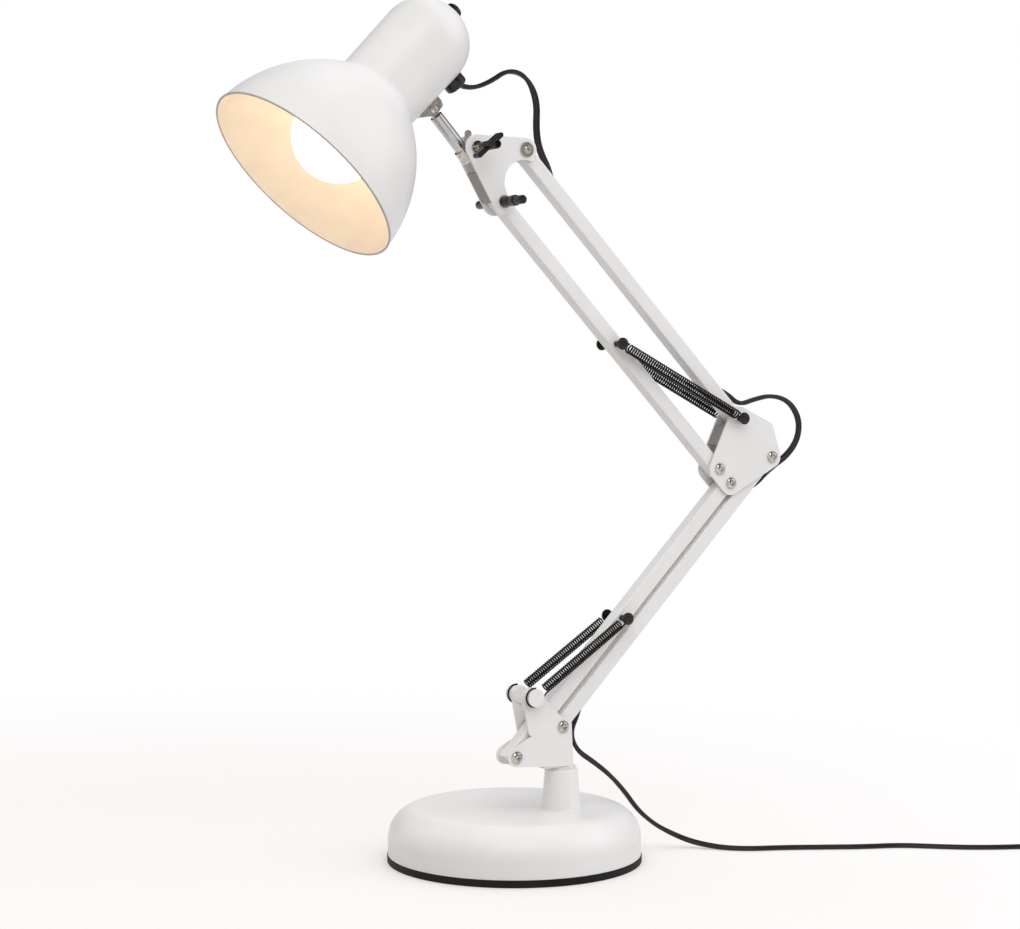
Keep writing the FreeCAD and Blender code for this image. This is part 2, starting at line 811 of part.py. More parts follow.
low_slots = slot_pair(low_arm_long, s.low_slot_foot, s.low_slot_head)
up_slots = slot_pair(up_arm_long, s.up_slot_foot, s.up_slot_head)
low_pin_along = low_arm_long * s.low_pin_share
up_pin_along = up_arm_long * s.up_pin_share
low_gaps = (s.low_gap, s.elbow_gap)
up_gaps = (s.elbow_gap, s.head_gap)
low_long_text = "(low_arm_x ^ 2 + low_arm_z ^ 2) ^ 0.5"
up_long_text = "(up_arm_x ^ 2 + up_arm_z ^ 2) ^ 0.5"
bar("lower_right_bar", pivot_a, low_long_text, low_arm_long, low_arm_turn, low_gaps, low_slots)
bar("lower_left_bar", pivot_b, low_long_text, low_arm_long, low_arm_turn, low_gaps, [],
    low_pin_along, s.low_pin_out)
bar("upper_right_bar", pivot_f, up_long_text, up_arm_long, up_arm_turn, up_gaps, up_slots)
bar("upper_left_bar", pivot_e, up_long_text, up_arm_long, up_arm_turn, up_gaps, [],
    up_pin_along, s.up_pin_out)


# Pivot hardware: cross-head screws, nuts behind, and nylon washers between plates and tubes.
def cross_screw(label, place, front, shank, long, head_radius, head_high):
    """A pan-head screw from the front plate's face, its shank running back along Y."""
    rim_end = (head_radius, head_high * s.head_rim_share)
    crown = (head_radius * s.crown_share, head_high)
    profile = [
        (0, -long),
        (shank, -long),
        (shank, 0),
        (head_radius, 0),
        rim_end,
        (*arched(rim_end, crown, s.arch_share), *crown),
        (0, head_high),
    ]
    body = turned(label, profile, arm_point(*place, -front), -Y_AXIS)
    arm, wide = s.cross_long * head_radius / s.screw_head_radius / 2, s.cross_wide / 2
    cross = polyline([
        (arm, -wide), (arm, wide), (wide, wide), (wide, arm), (-wide, arm), (-wide, wide),
        (-arm, wide), (-arm, -wide), (-wide, -wide), (-wide, -arm), (wide, -arm), (wide, -wide),
    ])
    recess = new_sketch(body, "XY_Plane", cross)
    recess.AttachmentOffset = Placement(Vector(0, 0, head_high + s.overrun), Rotation())
    pocket(body, recess, "cross_deep + overrun")
    return body


def pivot_bolts(label, places, inner, washer_thick=0.0, head=None):
    """Screws with their nuts, one through each pivot; inner is half the gap between the plates."""
    outer = inner + s.sheet_thick
    head_radius, head_high = head or (s.screw_head_radius, s.screw_head_high)
    front = outer + washer_thick
    long = front + outer + s.nut_thick + s.tail_past_nut
    made = []
    for place in places:
        made.append(cross_screw(f"{label}_screw_{len(made) + 1}", place, front, s.bolt_radius, long,
                                head_radius, head_high))
        made.append(nut(f"{label}_nut_{len(made)}", s.nut_flats, "bolt_radius + running / 2",
                        "nut_thick", arm_point(*place, outer), Y_AXIS))
    return group(label, made)


pivot_bolts("lower_pivot_bolts", [pivot_a, pivot_b], low_inner)
pivot_bolts("elbow_pivot_bolts", [pivot_c, pivot_d, pivot_e], elbow_inner)
pivot_bolts("head_pivot_bolt", [pivot_g], head_inner, s.g_washer_thick, (s.g_head_radius, s.g_head_high))


# Spring anchors: grooved bosses on the lower bracket's horns, and capped pins.
low_outer = low_inner + s.sheet_thick
elbow_outer = elbow_inner + s.sheet_thick
head_outer = head_inner + s.sheet_thick
groove_near = s.boss_groove_from
groove_far = groove_near + s.boss_groove_wide
bosses = []
for side in (-1, 1):
    profile = [
        (0, -s.sheet_thick - s.boss_inner_flange),
        (s.boss_radius, -s.sheet_thick - s.boss_inner_flange),
        (s.boss_radius, -s.sheet_thick),
        (s.pin_radius, -s.sheet_thick),
        (s.pin_radius, 0),
        (s.boss_radius, 0),
        (s.boss_radius, groove_far),
        (s.boss_radius + s.running, groove_far),
        (s.boss_flange - s.running, s.boss_long),
        (0, s.boss_long),
    ]
    bosses.append(turned(f"spring_boss_{'front' if side < 0 else 'rear'}", profile,
                         arm_point(*boss, side * low_outer), Y_AXIS * side))
group("spring_bosses", bosses)


def capped_pin(label, place, reach):
    """A cross pin with a push-on cap at each end."""
    profile = [(0, -reach), (s.pin_radius, -reach), (s.pin_radius, reach), (0, reach)]
    made = [turned(label + "_pin", profile, arm_point(*place), Y_AXIS)]
    rim_end = (s.cap_radius, s.cap_inner + s.cap_thick / 2)
    crown = (s.cap_radius / 2, s.cap_inner + s.cap_thick)
    for side in (-1, 1):
        dome = [
            (s.pin_radius, s.cap_inner),
            (s.cap_radius, s.cap_inner),
            rim_end,
            (*arched(rim_end, crown, s.arch_share), *crown),
            (0, s.cap_inner + s.cap_thick),
            (0, reach),
            (s.pin_radius, reach),
        ]
        made.append(turned(f"{label}_cap_{'front' if side < 0 else 'rear'}", dome, arm_point(*place),
                           Y_AXIS * side))
    group(label, made)


def on_bar(pivot, turn, along, out):
    angle = math.radians(turn)
    return (pivot[0] + along * math.cos(angle) - out * math.sin(angle),
            pivot[1] + along * math.sin(angle) + out * math.cos(angle))


low_pin = on_bar(pivot_b, low_arm_turn, low_pin_along, s.low_pin_out)
up_pin = on_bar(pivot_e, up_arm_turn, up_pin_along, s.up_pin_out)
pin_reach = s.cap_inner + s.cap_thick / 2
capped_pin("lower_spring_pin", low_pin, pin_reach)
capped_pin("upper_spring_pin", up_pin, pin_reach)
capped_pin("elbow_pin", pivot_f, pin_reach)


# Tubes along a path: joined arcs for what is wound, tangent arcs between runs for a free cord.
def arc_from(start, heading, end):
    """The circular edge that leaves start along heading and comes to end."""
    chord = end - start
    half = heading.getAngle(chord) / 2
    if half < 1e-6:
        return Part.LineSegment(start, end).toShape()
    ahead = Vector(chord).normalize()
    aside = (heading - ahead * heading.dot(ahead)).normalize()
    middle = (start + end) / 2 + aside * (chord.Length / 2 * math.tan(half))
    return Part.Arc(start, middle, end).toShape()


def biarc(one, two):
    """Two tangent arcs from one (place, heading) to the next."""
    start, leave = one
    end, arrive = two
    chord = end - start
    both = leave + arrive
    bend = 1 - leave.dot(arrive)
    lean = chord.dot(both)
    if bend < 1e-9:
        reach = chord.dot(chord) / (2 * lean)
    else:
        reach = (math.sqrt(lean**2 + 2 * bend * chord.dot(chord)) - lean) / (2 * bend)
    meet = (start + leave * reach + end - arrive * reach) / 2
    tangent = (meet - start - leave * reach) / reach
    return [arc_from(start, leave, meet), arc_from(meet, Vector(tangent).normalize(), end)]


def swept(label, edges, radius, start, heading):
    """A round tube along the edges; its volume has to match its section times its length."""
    wire = Part.Wire(edges)
    section = Part.Wire(Part.Circle(start, heading, radius).toShape())
    tube = wire.makePipeShell([section], True, False)
    if tube.ShapeType != "Solid":
        tube = Part.Solid(tube) if tube.ShapeType == "Shell" else tube.Solids[0]
    share = tube.Volume / (math.pi * radius**2 * wire.Length)
    if tube.Volume < 0:
        tube.reverse()
    print(f"{label}: {wire.Length:.0f} mm long, volume {share:.4f} of its section times its length")
    return tube, wire


def least_gap(wire, radius, apart):
    """The least gap from the tube to itself, on points further than apart along it."""
    count = int(wire.Length / (2 * radius)) * 2
    points = wire.discretize(Number=count)
    step = wire.Length / (count - 1)
    skip = int(apart / step) + 1
    best = math.inf
    for index, point in enumerate(points):
        for other in points[index + skip : index + 12 * skip]:
            best = min(best, point.distanceToPoint(other))
    return best - 2 * radius


def spring(label, foot, foot_radius, tip, tip_radius, turns):
    """An extension spring: a hook round each anchor and its coil between them, in one wire."""
    axis = (tip - foot).normalize()
    aside = Y_AXIS.cross(axis).normalize()
    depth = axis.cross(aside)
    coil = s.spring_outer - s.spring_wire
    nodes_here = []

    def hook(centre, radius, ahead, degrees):
        turn = math.radians(degrees)
        place = centre + (ahead * math.cos(turn) + aside * math.sin(turn)) * radius
        heading = ahead * math.sin(turn) - aside * math.cos(turn)
        return place, heading

    foot_hook = foot_radius + s.spring_hook_gap + s.spring_wire
    tip_hook = tip_radius + s.spring_hook_gap + s.spring_wire
    for degrees in HOOK_TURNS:
        nodes_here.append(hook(foot, foot_hook, axis, degrees))
    begin = foot + axis * (foot_hook + s.spring_neck)
    end = tip - axis * (tip_hook + s.spring_neck)
    pitch = (end - begin).Length / turns
    slope = Vector(2 * math.pi * coil, pitch, 0).normalize()
    for quarter in range(4 * turns + 1):
        turn = quarter * math.pi / 2
        out = aside * math.cos(turn) + depth * math.sin(turn)
        round_it = depth * math.cos(turn) - aside * math.sin(turn)
        place = begin + axis * (pitch * quarter / 4) + out * coil
        nodes_here.append((place, round_it * slope.x + axis * slope.y))
    for degrees in reversed(HOOK_TURNS):
        place, heading = hook(tip, tip_hook, -axis, degrees)
        nodes_here.append((place, -heading))
    edges = []
    first, last = nodes_here[0], nodes_here[-1]
    edges.append(Part.LineSegment(first[0] - first[1] * 2 * s.spring_wire, first[0]).toShape())
    for one, two in zip(nodes_here, nodes_here[1:]):
        edges += biarc(one, two)
    edges.append(Part.LineSegment(last[0], last[0] + last[1] * 2 * s.spring_wire).toShape())
    start = first[0] - first[1] * 2 * s.spring_wire
    tube, wire = swept(label, edges, s.spring_wire, start, first[1])
    gap = least_gap(wire, s.spring_wire, 2 * s.spring_outer)
    print(f"{label}: {turns} curls, least gap to itself {gap:.2f} mm")
    return feature(label, tube)


groove_middle = low_outer + (groove_near + groove_far) / 2
for side, word in ((-1, "front"), (1, "rear")):
    spring(f"lower_spring_{word}", arm_point(*boss, side * groove_middle), s.boss_radius,
           arm_point(*low_pin, side * s.pin_hook_at), s.pin_radius, int(s.low_spring_turns))
    spring(f"upper_spring_{word}", arm_point(*pivot_f, side * s.pin_hook_at), s.pin_radius,
           arm_point(*up_pin, side * s.pin_hook_at), s.pin_radius, int(s.up_spring_turns))


# The shade's own directions: up its axis to the dome, and out to the side of the stem.
lean = math.radians(s.shade_lean)
up_axis = Vector(math.cos(lean), 0, math.sin(lean))
out_axis = Vector(math.sin(lean), 0, -math.cos(lean))
crease = arm_point(pivot_w[0] + s.crease_x, pivot_w[1] + s.crease_z)
shade_place = Placement(crease, Rotation(Z_AXIS, up_axis))


def shade_point(up, out):
    return crease + up_axis * up + out_axis * out


# Clamp at the head: the rod passes beside the bolt inside a folded strap.
clamp = arm_point(*pivot_w)
knuckle = shade_point(s.knuckle_up, s.knuckle_out)
reach = knuckle - clamp
swing = math.atan2(reach.z, reach.x) - math.asin(s.rod_offset / reach.Length)
rod_axis = Vector(math.cos(swing), 0, math.sin(swing))
rod_foot = knuckle - rod_axis * math.sqrt(reach.Length**2 - s.rod_offset**2)
rod_long = (knuckle - rod_foot).Length
rod = turned(
    "stem",
    [
        (0, -s.rod_past_clamp),
        (s.rod_radius - s.rod_chamfer, -s.rod_past_clamp),
        (s.rod_radius, s.rod_chamfer - s.rod_past_clamp),
        (s.rod_radius, rod_long - s.eye_long),
        (s.eye_radius, rod_long - s.eye_long),
        (s.eye_radius, rod_long),
        (s.eye_radius * half_turn, rod_long + s.eye_radius * half_turn, 0, rod_long + s.eye_radius),
    ],
    rod_foot,
    rod_axis,
)
far_side = s.rod_radius + s.overrun
for side in (-1, 1):
    flank = polyline([
        (-far_side, side * (s.eye_half + far_side) - far_side),
        (far_side, side * (s.eye_half + far_side) - far_side),
        (far_side, side * (s.eye_half + far_side) + far_side),
        (-far_side, side * (s.eye_half + far_side) + far_side),
    ])
    cheek = new_sketch(rod, "XY_Plane", flank)
    cheek.AttachmentOffset = Placement(Vector(0, 0, rod_long + s.eye_radius + s.overrun), Rotation())
    pocket(rod, cheek, "eye_radius + overrun + eye_long")
eye_hole = new_sketch(rod, "XZ_Plane", [ring(0, rod_long, 1.0)])
size_radius(eye_hole, 0, "knuckle_screw_radius + running")
pocket(rod, eye_hole, "4 * rod_radius", middle=True)
keep("stem", rod)

strap = new_body("clamp_strap", Placement(rod_foot, Rotation(Z_AXIS, rod_axis)))
ear_end = s.rod_offset + s.strap_past_bolt
strap_out = s.rod_radius + s.strap_wall
strap_outline = new_sketch(strap, "XY_Plane", polyline([
    (ear_end, -s.rod_radius),
    (ear_end, -strap_out),
    (0, -strap_out),
    (-strap_out, 0, 0, strap_out),
    (ear_end, strap_out),
    (ear_end, s.rod_radius),
    (0, s.rod_radius),
    (-s.rod_radius, 0, 0, -s.rod_radius),
]))
pad(strap, strap_outline, "strap_long", middle=True)
turn_back = Rotation(Z_AXIS, rod_axis).inverted()
tab_up = turn_back.multVec(Z_AXIS)
tab = new_sketch(strap, "XZ_Plane", hull([
    (s.rod_offset, 0, s.strap_tab_radius),
    (s.rod_offset + tab_up.x * s.strap_tab_reach, tab_up.z * s.strap_tab_reach, s.strap_tab_radius),
]), "-(rod_radius + strap_wall)")
pad(strap, tab, "strap_wall")
bolt_way = new_sketch(strap, "XZ_Plane", [ring(s.rod_offset, 0, 1.0)])
size_radius(bolt_way, 0, "wing_bolt_radius + running")
pocket(strap, bolt_way, "4 * rod_radius", middle=True)
keep("clamp_strap", strap)

wing_bolt_foot = head_outer + s.wing_washer_thick + s.wing_bolt_head_high
wing_bolt = turned(
    "wing_bolt_shank",
    [
        (0, -wing_bolt_foot),
        (s.wing_bolt_head * half_turn, -wing_bolt_foot),
        (s.wing_bolt_head, -wing_bolt_foot + s.wing_bolt_head * (1 - half_turn)),
        (s.wing_bolt_head, -head_outer - s.wing_washer_thick),
        (s.wing_bolt_radius, -head_outer - s.wing_washer_thick),
        (s.wing_bolt_radius, head_outer + s.wing_bolt_reach),
        (0, head_outer + s.wing_bolt_reach),
    ],
    clamp,
    -Y_AXIS,
)
group("wing_bolt", [wing_bolt])
bolt_washers = [
    washer("wing_washer_rear", "wing_washer_radius", "wing_bolt_radius + running", "wing_washer_thick",
           clamp + Y_AXIS * head_outer, Y_AXIS),
    washer("wing_washer_front", "wing_washer_radius", "wing_bolt_radius + running", "wing_washer_thick",
           clamp - Y_AXIS * head_outer, -Y_AXIS),
    washer("g_washer", "g_washer_radius", bolt_hole, "g_washer_thick",
           arm_point(*pivot_g, -head_outer), -Y_AXIS),
    washer("h_washer_rear", "h_washer_radius", bolt_hole, "h_washer_thick",
           arm_point(*pivot_h, head_outer), Y_AXIS),
    washer("h_washer_front", "h_washer_radius", bolt_hole, "h_washer_thick",
           arm_point(*pivot_h, -head_outer), -Y_AXIS),
]
group("head_washers", bolt_washers)

hub_from = head_outer + s.wing_hub_from
hub_to = head_outer + s.wing_hub_to
wing = turned(
    "wing_knob",
    [
        (s.wing_bolt_radius + s.running, hub_from),
        (s.wing_hub_neck, hub_from),
        (s.wing_hub_radius, hub_from + s.wing_hub_radius),
        (s.wing_hub_radius, hub_to - s.edge_bevel),
        (s.wing_hub_radius - s.edge_bevel / 2, hub_to),
        (s.wing_bolt_radius + s.running, hub_to),
    ],
    clamp,
    -Y_AXIS,
)
turned_wing = math.radians(s.wing_turn)
half_span, half_blade = s.wing_span / 2, s.wing_thick / 2
blade_x, blade_y = math.cos(turned_wing), math.sin(turned_wing)
to_body = Rotation(Z_AXIS, -Y_AXIS).inverted()
for side in (-1, 1):
    spread = Vector(side * blade_x, 0, side * blade_y)
    tip = to_body.multVec(spread * (half_span - half_blade))
    root = to_body.multVec(spread) * (s.wing_bolt_radius + s.running + half_blade)
    blade = new_sketch(wing, "XY_Plane", hull([(root.x, root.y, half_blade), (tip.x, tip.y, half_blade)]))
    blade.AttachmentOffset = Placement(Vector(0, 0, head_outer + s.wing_at - s.wing_deep / 2), Rotation())
    pad(wing, blade, "wing_deep")
keep("wing_knob", wing)

grip_parts = []
grip_front, grip_rear = head_outer + s.grip_front_long, head_outer + s.grip_rear_long
grip_screw_to = s.grip_screw_in
rod_profile = [
    (0, -grip_rear + grip_screw_to),
    (s.bolt_radius, -grip_rear + grip_screw_to),
    (s.bolt_radius, grip_front - grip_screw_to),
    (0, grip_front - grip_screw_to),
]
grip_parts.append(turned("grip_shank", rod_profile, arm_point(*pivot_h), -Y_AXIS))
for word, side, reach_out, steps in (
    ("front", -1, grip_front, GRIP_FRONT_SHARES),
    ("rear", 1, grip_rear, GRIP_REAR_SHARES),
):
    start = head_outer + s.h_washer_thick + s.running
    spots = [start + (reach_out - start) * share for share in steps]
    profile = [(s.bolt_radius, spots[0])]
    if steps[1]:
        profile += [
            (s.grip_foot_radius, spots[0]),
            (s.grip_foot_radius, spots[1]),
            (s.grip_waist_radius, spots[2]),
            (s.grip_waist_radius, spots[3]),
        ]
    profile += [
        (s.grip_bulge_radius, spots[3]),
        (s.grip_bulge_radius, spots[4]),
        (s.grip_end_radius, spots[4]),
        (s.grip_end_radius, spots[5] - s.edge_bevel / 2),
        (s.grip_end_radius - s.edge_bevel / 2, spots[5]),
        (0, spots[5]),
        (0, reach_out - grip_screw_to),
        (s.bolt_radius, reach_out - grip_screw_to),
    ]
    grip_parts.append(turned(f"grip_{word}", profile, arm_point(*pivot_h), Y_AXIS * side))
group("grip_rod", grip_parts)


# The shade: bell, neck and dome in one spun shell.
def bowed(one, two, radius, side):
    """The middle of the arc of this radius between two (radius, along) points."""
    run = flat(two) - flat(one)
    away = Vector(-run.y, run.x, 0).normalize() * side
    rise = radius - math.sqrt(radius**2 - (run.Length / 2) ** 2)
    middle = (flat(one) + flat(two)) / 2 + away * rise
    return middle.x, middle.y


wall = s.shade_wall
mouth = -s.bell_deep
bell_middle = bowed((s.bell_radius, mouth), (s.neck_radius, 0), s.bell_arc, -1)
run = flat((s.neck_radius, 0)) - flat((s.bell_radius, mouth))
bell_side = Vector(run.y, -run.x, 0).normalize()
bell_centre = flat(bell_middle) - bell_side * s.bell_arc


def bell_inner(point):
    ray = (flat(point) - bell_centre).normalize()
    spot = bell_centre + ray * (s.bell_arc - wall)
    return spot.x, spot.y


dome_gain = s.neck_top_radius - s.dome_flat_radius
dome_arc = (dome_gain**2 + s.dome_high**2) / (2 * dome_gain)
dome_top = s.neck_long + s.dome_high
dome_centre = flat((s.neck_top_radius - dome_arc, s.neck_long))
dome_middle = bowed((s.neck_top_radius, s.neck_long), (s.dome_flat_radius, dome_top), dome_arc, -1)
dome_ray = (flat(dome_middle) - dome_centre).normalize()
dome_inner = dome_centre + dome_ray * (dome_arc - wall)
flat_low = dome_top - wall
flat_inner = dome_centre.x + math.sqrt((dome_arc - wall) ** 2 - (flat_low - s.neck_long) ** 2)
bead = s.rim_bead
bead_in = bell_inner((s.bell_radius, mouth))
bead_low = (bead_in[0], mouth - bead)
bead_out = (s.bell_radius + bead / 2, mouth - bead / 2)
shade = turned(
    "shade",
    [
        (s.bell_radius, mouth),
        (*bell_middle, s.neck_radius, 0),
        (s.neck_top_radius, s.neck_long),
        (*dome_middle, s.dome_flat_radius, dome_top),
        (0, dome_top),
        (0, flat_low),
        (flat_inner, flat_low),
        (dome_inner.x, dome_inner.y, s.neck_top_radius - wall, s.neck_long),
        (s.neck_radius - wall, 0),
        (*bell_inner(bell_middle), *bead_in),
        bead_low,
        (*arched(bead_low, bead_out, s.bead_arch_share), *bead_out),
    ],
    crease,
    up_axis,
)
switch_way = new_sketch(shade, "XY_Plane", [ring(0, 0, 1.0)], "neck_long + dome_high + overrun")
size_radius(switch_way, 0, "switch_neck_radius")
pocket(shade, switch_way, "shade_wall + 2 * overrun")
gland_way = new_sketch(shade, "YZ_Plane", [ring(0, s.gland_up, 1.0)], "neck_top_radius + overrun")
size_radius(gland_way, 0, "gland_tail_radius")
pocket(shade, gland_way, "shade_wall + 3 * overrun")
keep("shade", shade)

# Knuckle: a folded bracket on the neck with an ear each side of the stem's eye.
knuckle_body = new_body("knuckle", shade_place)
neck_slope = (s.neck_top_radius - s.neck_radius) / s.neck_long
foot_far = s.knuckle_up + s.ear_ahead
seat = s.neck_radius + neck_slope * foot_far
low_out = seat - s.overrun
ear = polyline([
    (low_out, s.knuckle_up - s.ear_back),
    (seat + s.overrun, s.knuckle_up - s.ear_back),
    (s.knuckle_out + s.ear_high, s.knuckle_up - s.ear_high / 2),
    (s.knuckle_out + s.ear_high, s.knuckle_up + s.ear_high / 2),
    (s.knuckle_out + s.eye_radius, foot_far - 2 * s.foot_thick),
    (s.knuckle_out, foot_far),
    (low_out, foot_far),
])
for back in (False, True):
    side_text = "eye_half + running" if not back else "-(eye_half + running)"
    pad(knuckle_body, new_sketch(knuckle_body, "XZ_Plane", ear, side_text), "ear_thick", back=back)
base_strip = polyline([
    (low_out, s.knuckle_up - s.ear_back),
    (seat + s.foot_thick, s.knuckle_up - s.ear_back),
    (seat + s.foot_thick, foot_far),
    (low_out, foot_far),
])
pad(knuckle_body, new_sketch(knuckle_body, "XZ_Plane", base_strip), "2 * (eye_half + running) + ear_thick",
    middle=True)
neck_round = new_sketch(knuckle_body, "XY_Plane", [ring(0, 0, seat)], "knuckle_up + 3 * ear_back")
pocket(knuckle_body, neck_round, "6 * ear_back")
screw_way = new_sketch(knuckle_body, "XZ_Plane", [ring(s.knuckle_out, s.knuckle_up, 1.0)])
size_radius(screw_way, 0, "knuckle_screw_radius")
pocket(knuckle_body, screw_way, "4 * (eye_half + ear_thick)", middle=True)
keep("knuckle", knuckle_body)

ear_face = s.eye_half + s.running + s.ear_thick
front_face = knuckle - Y_AXIS * ear_face
screw_long = 2 * ear_face + s.knuckle_nut_thick + s.overrun / 2
knuckle_rim = (s.knuckle_head_radius, s.knuckle_head_high / 2)
knuckle_crown = (s.knuckle_head_radius * s.crown_share, s.knuckle_head_high)
knuckle_screw = turned(
    "knuckle_screw_shank",
    [
        (0, -screw_long),
        (s.knuckle_screw_radius, -screw_long),
        (s.knuckle_screw_radius, 0),
        (s.knuckle_head_radius, 0),
        knuckle_rim,
        (*arched(knuckle_rim, knuckle_crown, s.arch_share), *knuckle_crown),
        (0, s.knuckle_head_high),
    ],
    front_face,
    -Y_AXIS,
)
knuckle_nut = nut("knuckle_screw_nut", s.knuckle_nut_flats, "knuckle_screw_radius + running / 2",
                  "knuckle_nut_thick", knuckle + Y_AXIS * ear_face, Y_AXIS)
group("knuckle_screw", [knuckle_screw, knuckle_nut])

# Gland: a rubber collar where the cord leaves the shade, its mouth flared.
gland_seat = s.neck_top_radius + s.running
gland_rim = (s.gland_radius, gland_seat + s.gland_high - s.gland_lip)
gland_lip = (s.gland_radius - s.gland_lip, gland_seat + s.gland_high)
gland = turned(
    "cord_gland",
    [
        (s.gland_bore, gland_seat - s.overrun),
        (s.gland_radius, gland_seat - s.overrun),
        gland_rim,
        (*arched(gland_rim, gland_lip, s.arch_share), *gland_lip),
        (s.gland_mouth, gland_seat + s.gland_high),
    ],
    shade_point(s.gland_up, 0),
    out_axis,
)
neck_way = new_sketch(gland, "YZ_Plane", [ring(0, 0, gland_seat)])
pocket(gland, neck_way, "8 * gland_radius", middle=True)
tail = [ring(0, 0, 2.0), ring(0, 0, 1.0)]
tail_sketch = new_sketch(gland, "XY_Plane", tail, "neck_top_radius + overrun - gland_tail_long")
size_radius(tail_sketch, 0, "gland_tail_radius")
size_radius(tail_sketch, 1, "gland_bore")
pad(gland, tail_sketch, "gland_tail_long")
keep("cord_gland", gland)

# Switch: a push button on the dome's axis, in a bezel that its body hangs from.
flat_under = dome_top - wall
switch_foot = flat_under - s.switch_body_long
button_foot = dome_top + s.switch_bezel_high - s.switch_deep
well_foot = button_foot - s.switch_travel - s.running
switch_bore = s.switch_radius + s.running
switch_body = turned(
    "switch_body",
    [
        (0, switch_foot),
        (s.switch_body_radius, switch_foot),
        (s.switch_body_radius, flat_under - s.switch_shoulder_high),
        (s.switch_shoulder_radius, flat_under - s.switch_shoulder_high),
        (s.switch_shoulder_radius, flat_under),
        (s.switch_neck_radius, flat_under),
        (s.switch_neck_radius, dome_top),
        (s.switch_bezel_radius, dome_top),
        (s.switch_bezel_radius, dome_top + s.switch_bezel_high),
        (switch_bore, dome_top + s.switch_bezel_high),
        (switch_bore, well_foot),
        (0, well_foot),
    ],
    crease,
    up_axis,
)
keep("switch_body", switch_body)
button_top = dome_top + s.switch_bezel_high + s.switch_proud
button_rim = (s.switch_radius, button_top - s.switch_travel)
button_crown = (s.switch_radius * s.crown_share, button_top)
button = turned(
    "switch_button",
    [
        (0, button_foot),
        (s.switch_radius, button_foot),
        button_rim,
        (*arched(button_rim, button_crown, s.arch_share), *button_crown),
        (0, button_top),
    ],
    crease,
    up_axis,
)
keep("switch_button", button)

# Lamp holder on its carrier plate, and the lamp.
carrier_top = s.carrier_at + s.carrier_thick
carrier_radius = s.neck_radius + neck_slope * s.carrier_at - wall - s.running
holder = turned(
    "lamp_holder",
    [
        (s.holder_bore, s.holder_from),
        (s.holder_radius, s.holder_from),
        (s.holder_radius, s.holder_to - s.edge_bevel),
        (s.holder_radius - s.edge_bevel, s.holder_to),
        (0, s.holder_to),
        (0, s.holder_floor),
        (s.holder_bore, s.holder_floor),
    ],
    crease,
    up_axis,
)
keep("lamp_holder", holder)
carrier = new_body("holder_carrier", shade_place)
carrier_sketch = new_sketch(carrier, "XY_Plane", [ring(0, 0, carrier_radius), ring(0, 0, 1.0)], "carrier_at")
size_radius(carrier_sketch, 1, "holder_radius")
pad(carrier, carrier_sketch, "carrier_thick")
keep("holder_carrier", carrier)

bulb_turn = math.radians(s.bulb_neck_turn)
globe = (s.bulb_radius * math.cos(bulb_turn), s.bulb_radius * math.sin(bulb_turn) - s.bulb_middle)
inner_globe = s.bulb_radius - s.bulb_wall
globe_in = (inner_globe * math.cos(bulb_turn), inner_globe * math.sin(bulb_turn) - s.bulb_middle)
waist = ((globe[0] + s.bulb_neck_radius) / 2 - s.bulb_waist_in, (globe[1] + s.bulb_neck_at) / 2)
waist_in = (waist[0] - s.bulb_wall, waist[1] - s.bulb_wall / 2)
side_turn = math.radians(s.bulb_belly_turn)
belly = (s.bulb_radius * math.cos(side_turn), s.bulb_radius * math.sin(side_turn) - s.bulb_middle)
belly_in = (inner_globe * math.cos(side_turn), inner_globe * math.sin(side_turn) - s.bulb_middle)
bulb = turned(
    "bulb_glass",
    [
        (0, -s.bulb_middle - s.bulb_radius),
        (*belly, *globe),
        (*waist, s.bulb_neck_radius, s.bulb_neck_at),
        (s.bulb_neck_radius, s.bulb_glass_to),
        (s.bulb_neck_radius - s.bulb_wall, s.bulb_glass_to),
        (s.bulb_neck_radius - s.bulb_wall, s.bulb_neck_at),
        (*waist_in, *globe_in),
        (*belly_in, 0, -s.bulb_middle - inner_globe),
    ],
    crease,
    up_axis,
)
keep("bulb_glass", bulb)
cap = turned(
    "bulb_cap",
    [
        (s.bulb_neck_radius, s.bulb_cap_from),
        (s.bulb_cap_radius, s.bulb_cap_from),
        (s.bulb_cap_radius, s.bulb_cap_to - s.bulb_cap_radius * half_turn),
        (s.bulb_cap_end, s.bulb_cap_to),
        (0, s.bulb_cap_to),
        (0, s.bulb_glass_to),
        (s.bulb_neck_radius, s.bulb_glass_to),
    ],
    crease,
    up_axis,
)
keep("bulb_cap", cap)


# The flex: one route from the lamp holder to the plug, through both outer tubes, in pieces.
def bar_point(pivot, turn, along, out):
    """A point beside a bar: along from its pivot, out from its axis on the slotted side."""
    angle = math.radians(turn)
    return arm_point(pivot[0] + along * math.cos(angle) + out * math.sin(angle),
                     pivot[1] + along * math.sin(angle) - out * math.cos(angle))


def upper_point(along, out):
    return bar_point(pivot_f, up_arm_turn, along, out)


def lower_point(along, out):
    return bar_point(pivot_a, low_arm_turn, along, out)


def inside_run(one, two):
    """Places along a tube between two slots, the cord wandering a little from side to side."""
    sides = (0, -1, 1, -1, 1, -1, 0)
    return [(one + (two - one) * share, side * s.cord_wander) for share, side in zip(INSIDE_SHARES, sides)]


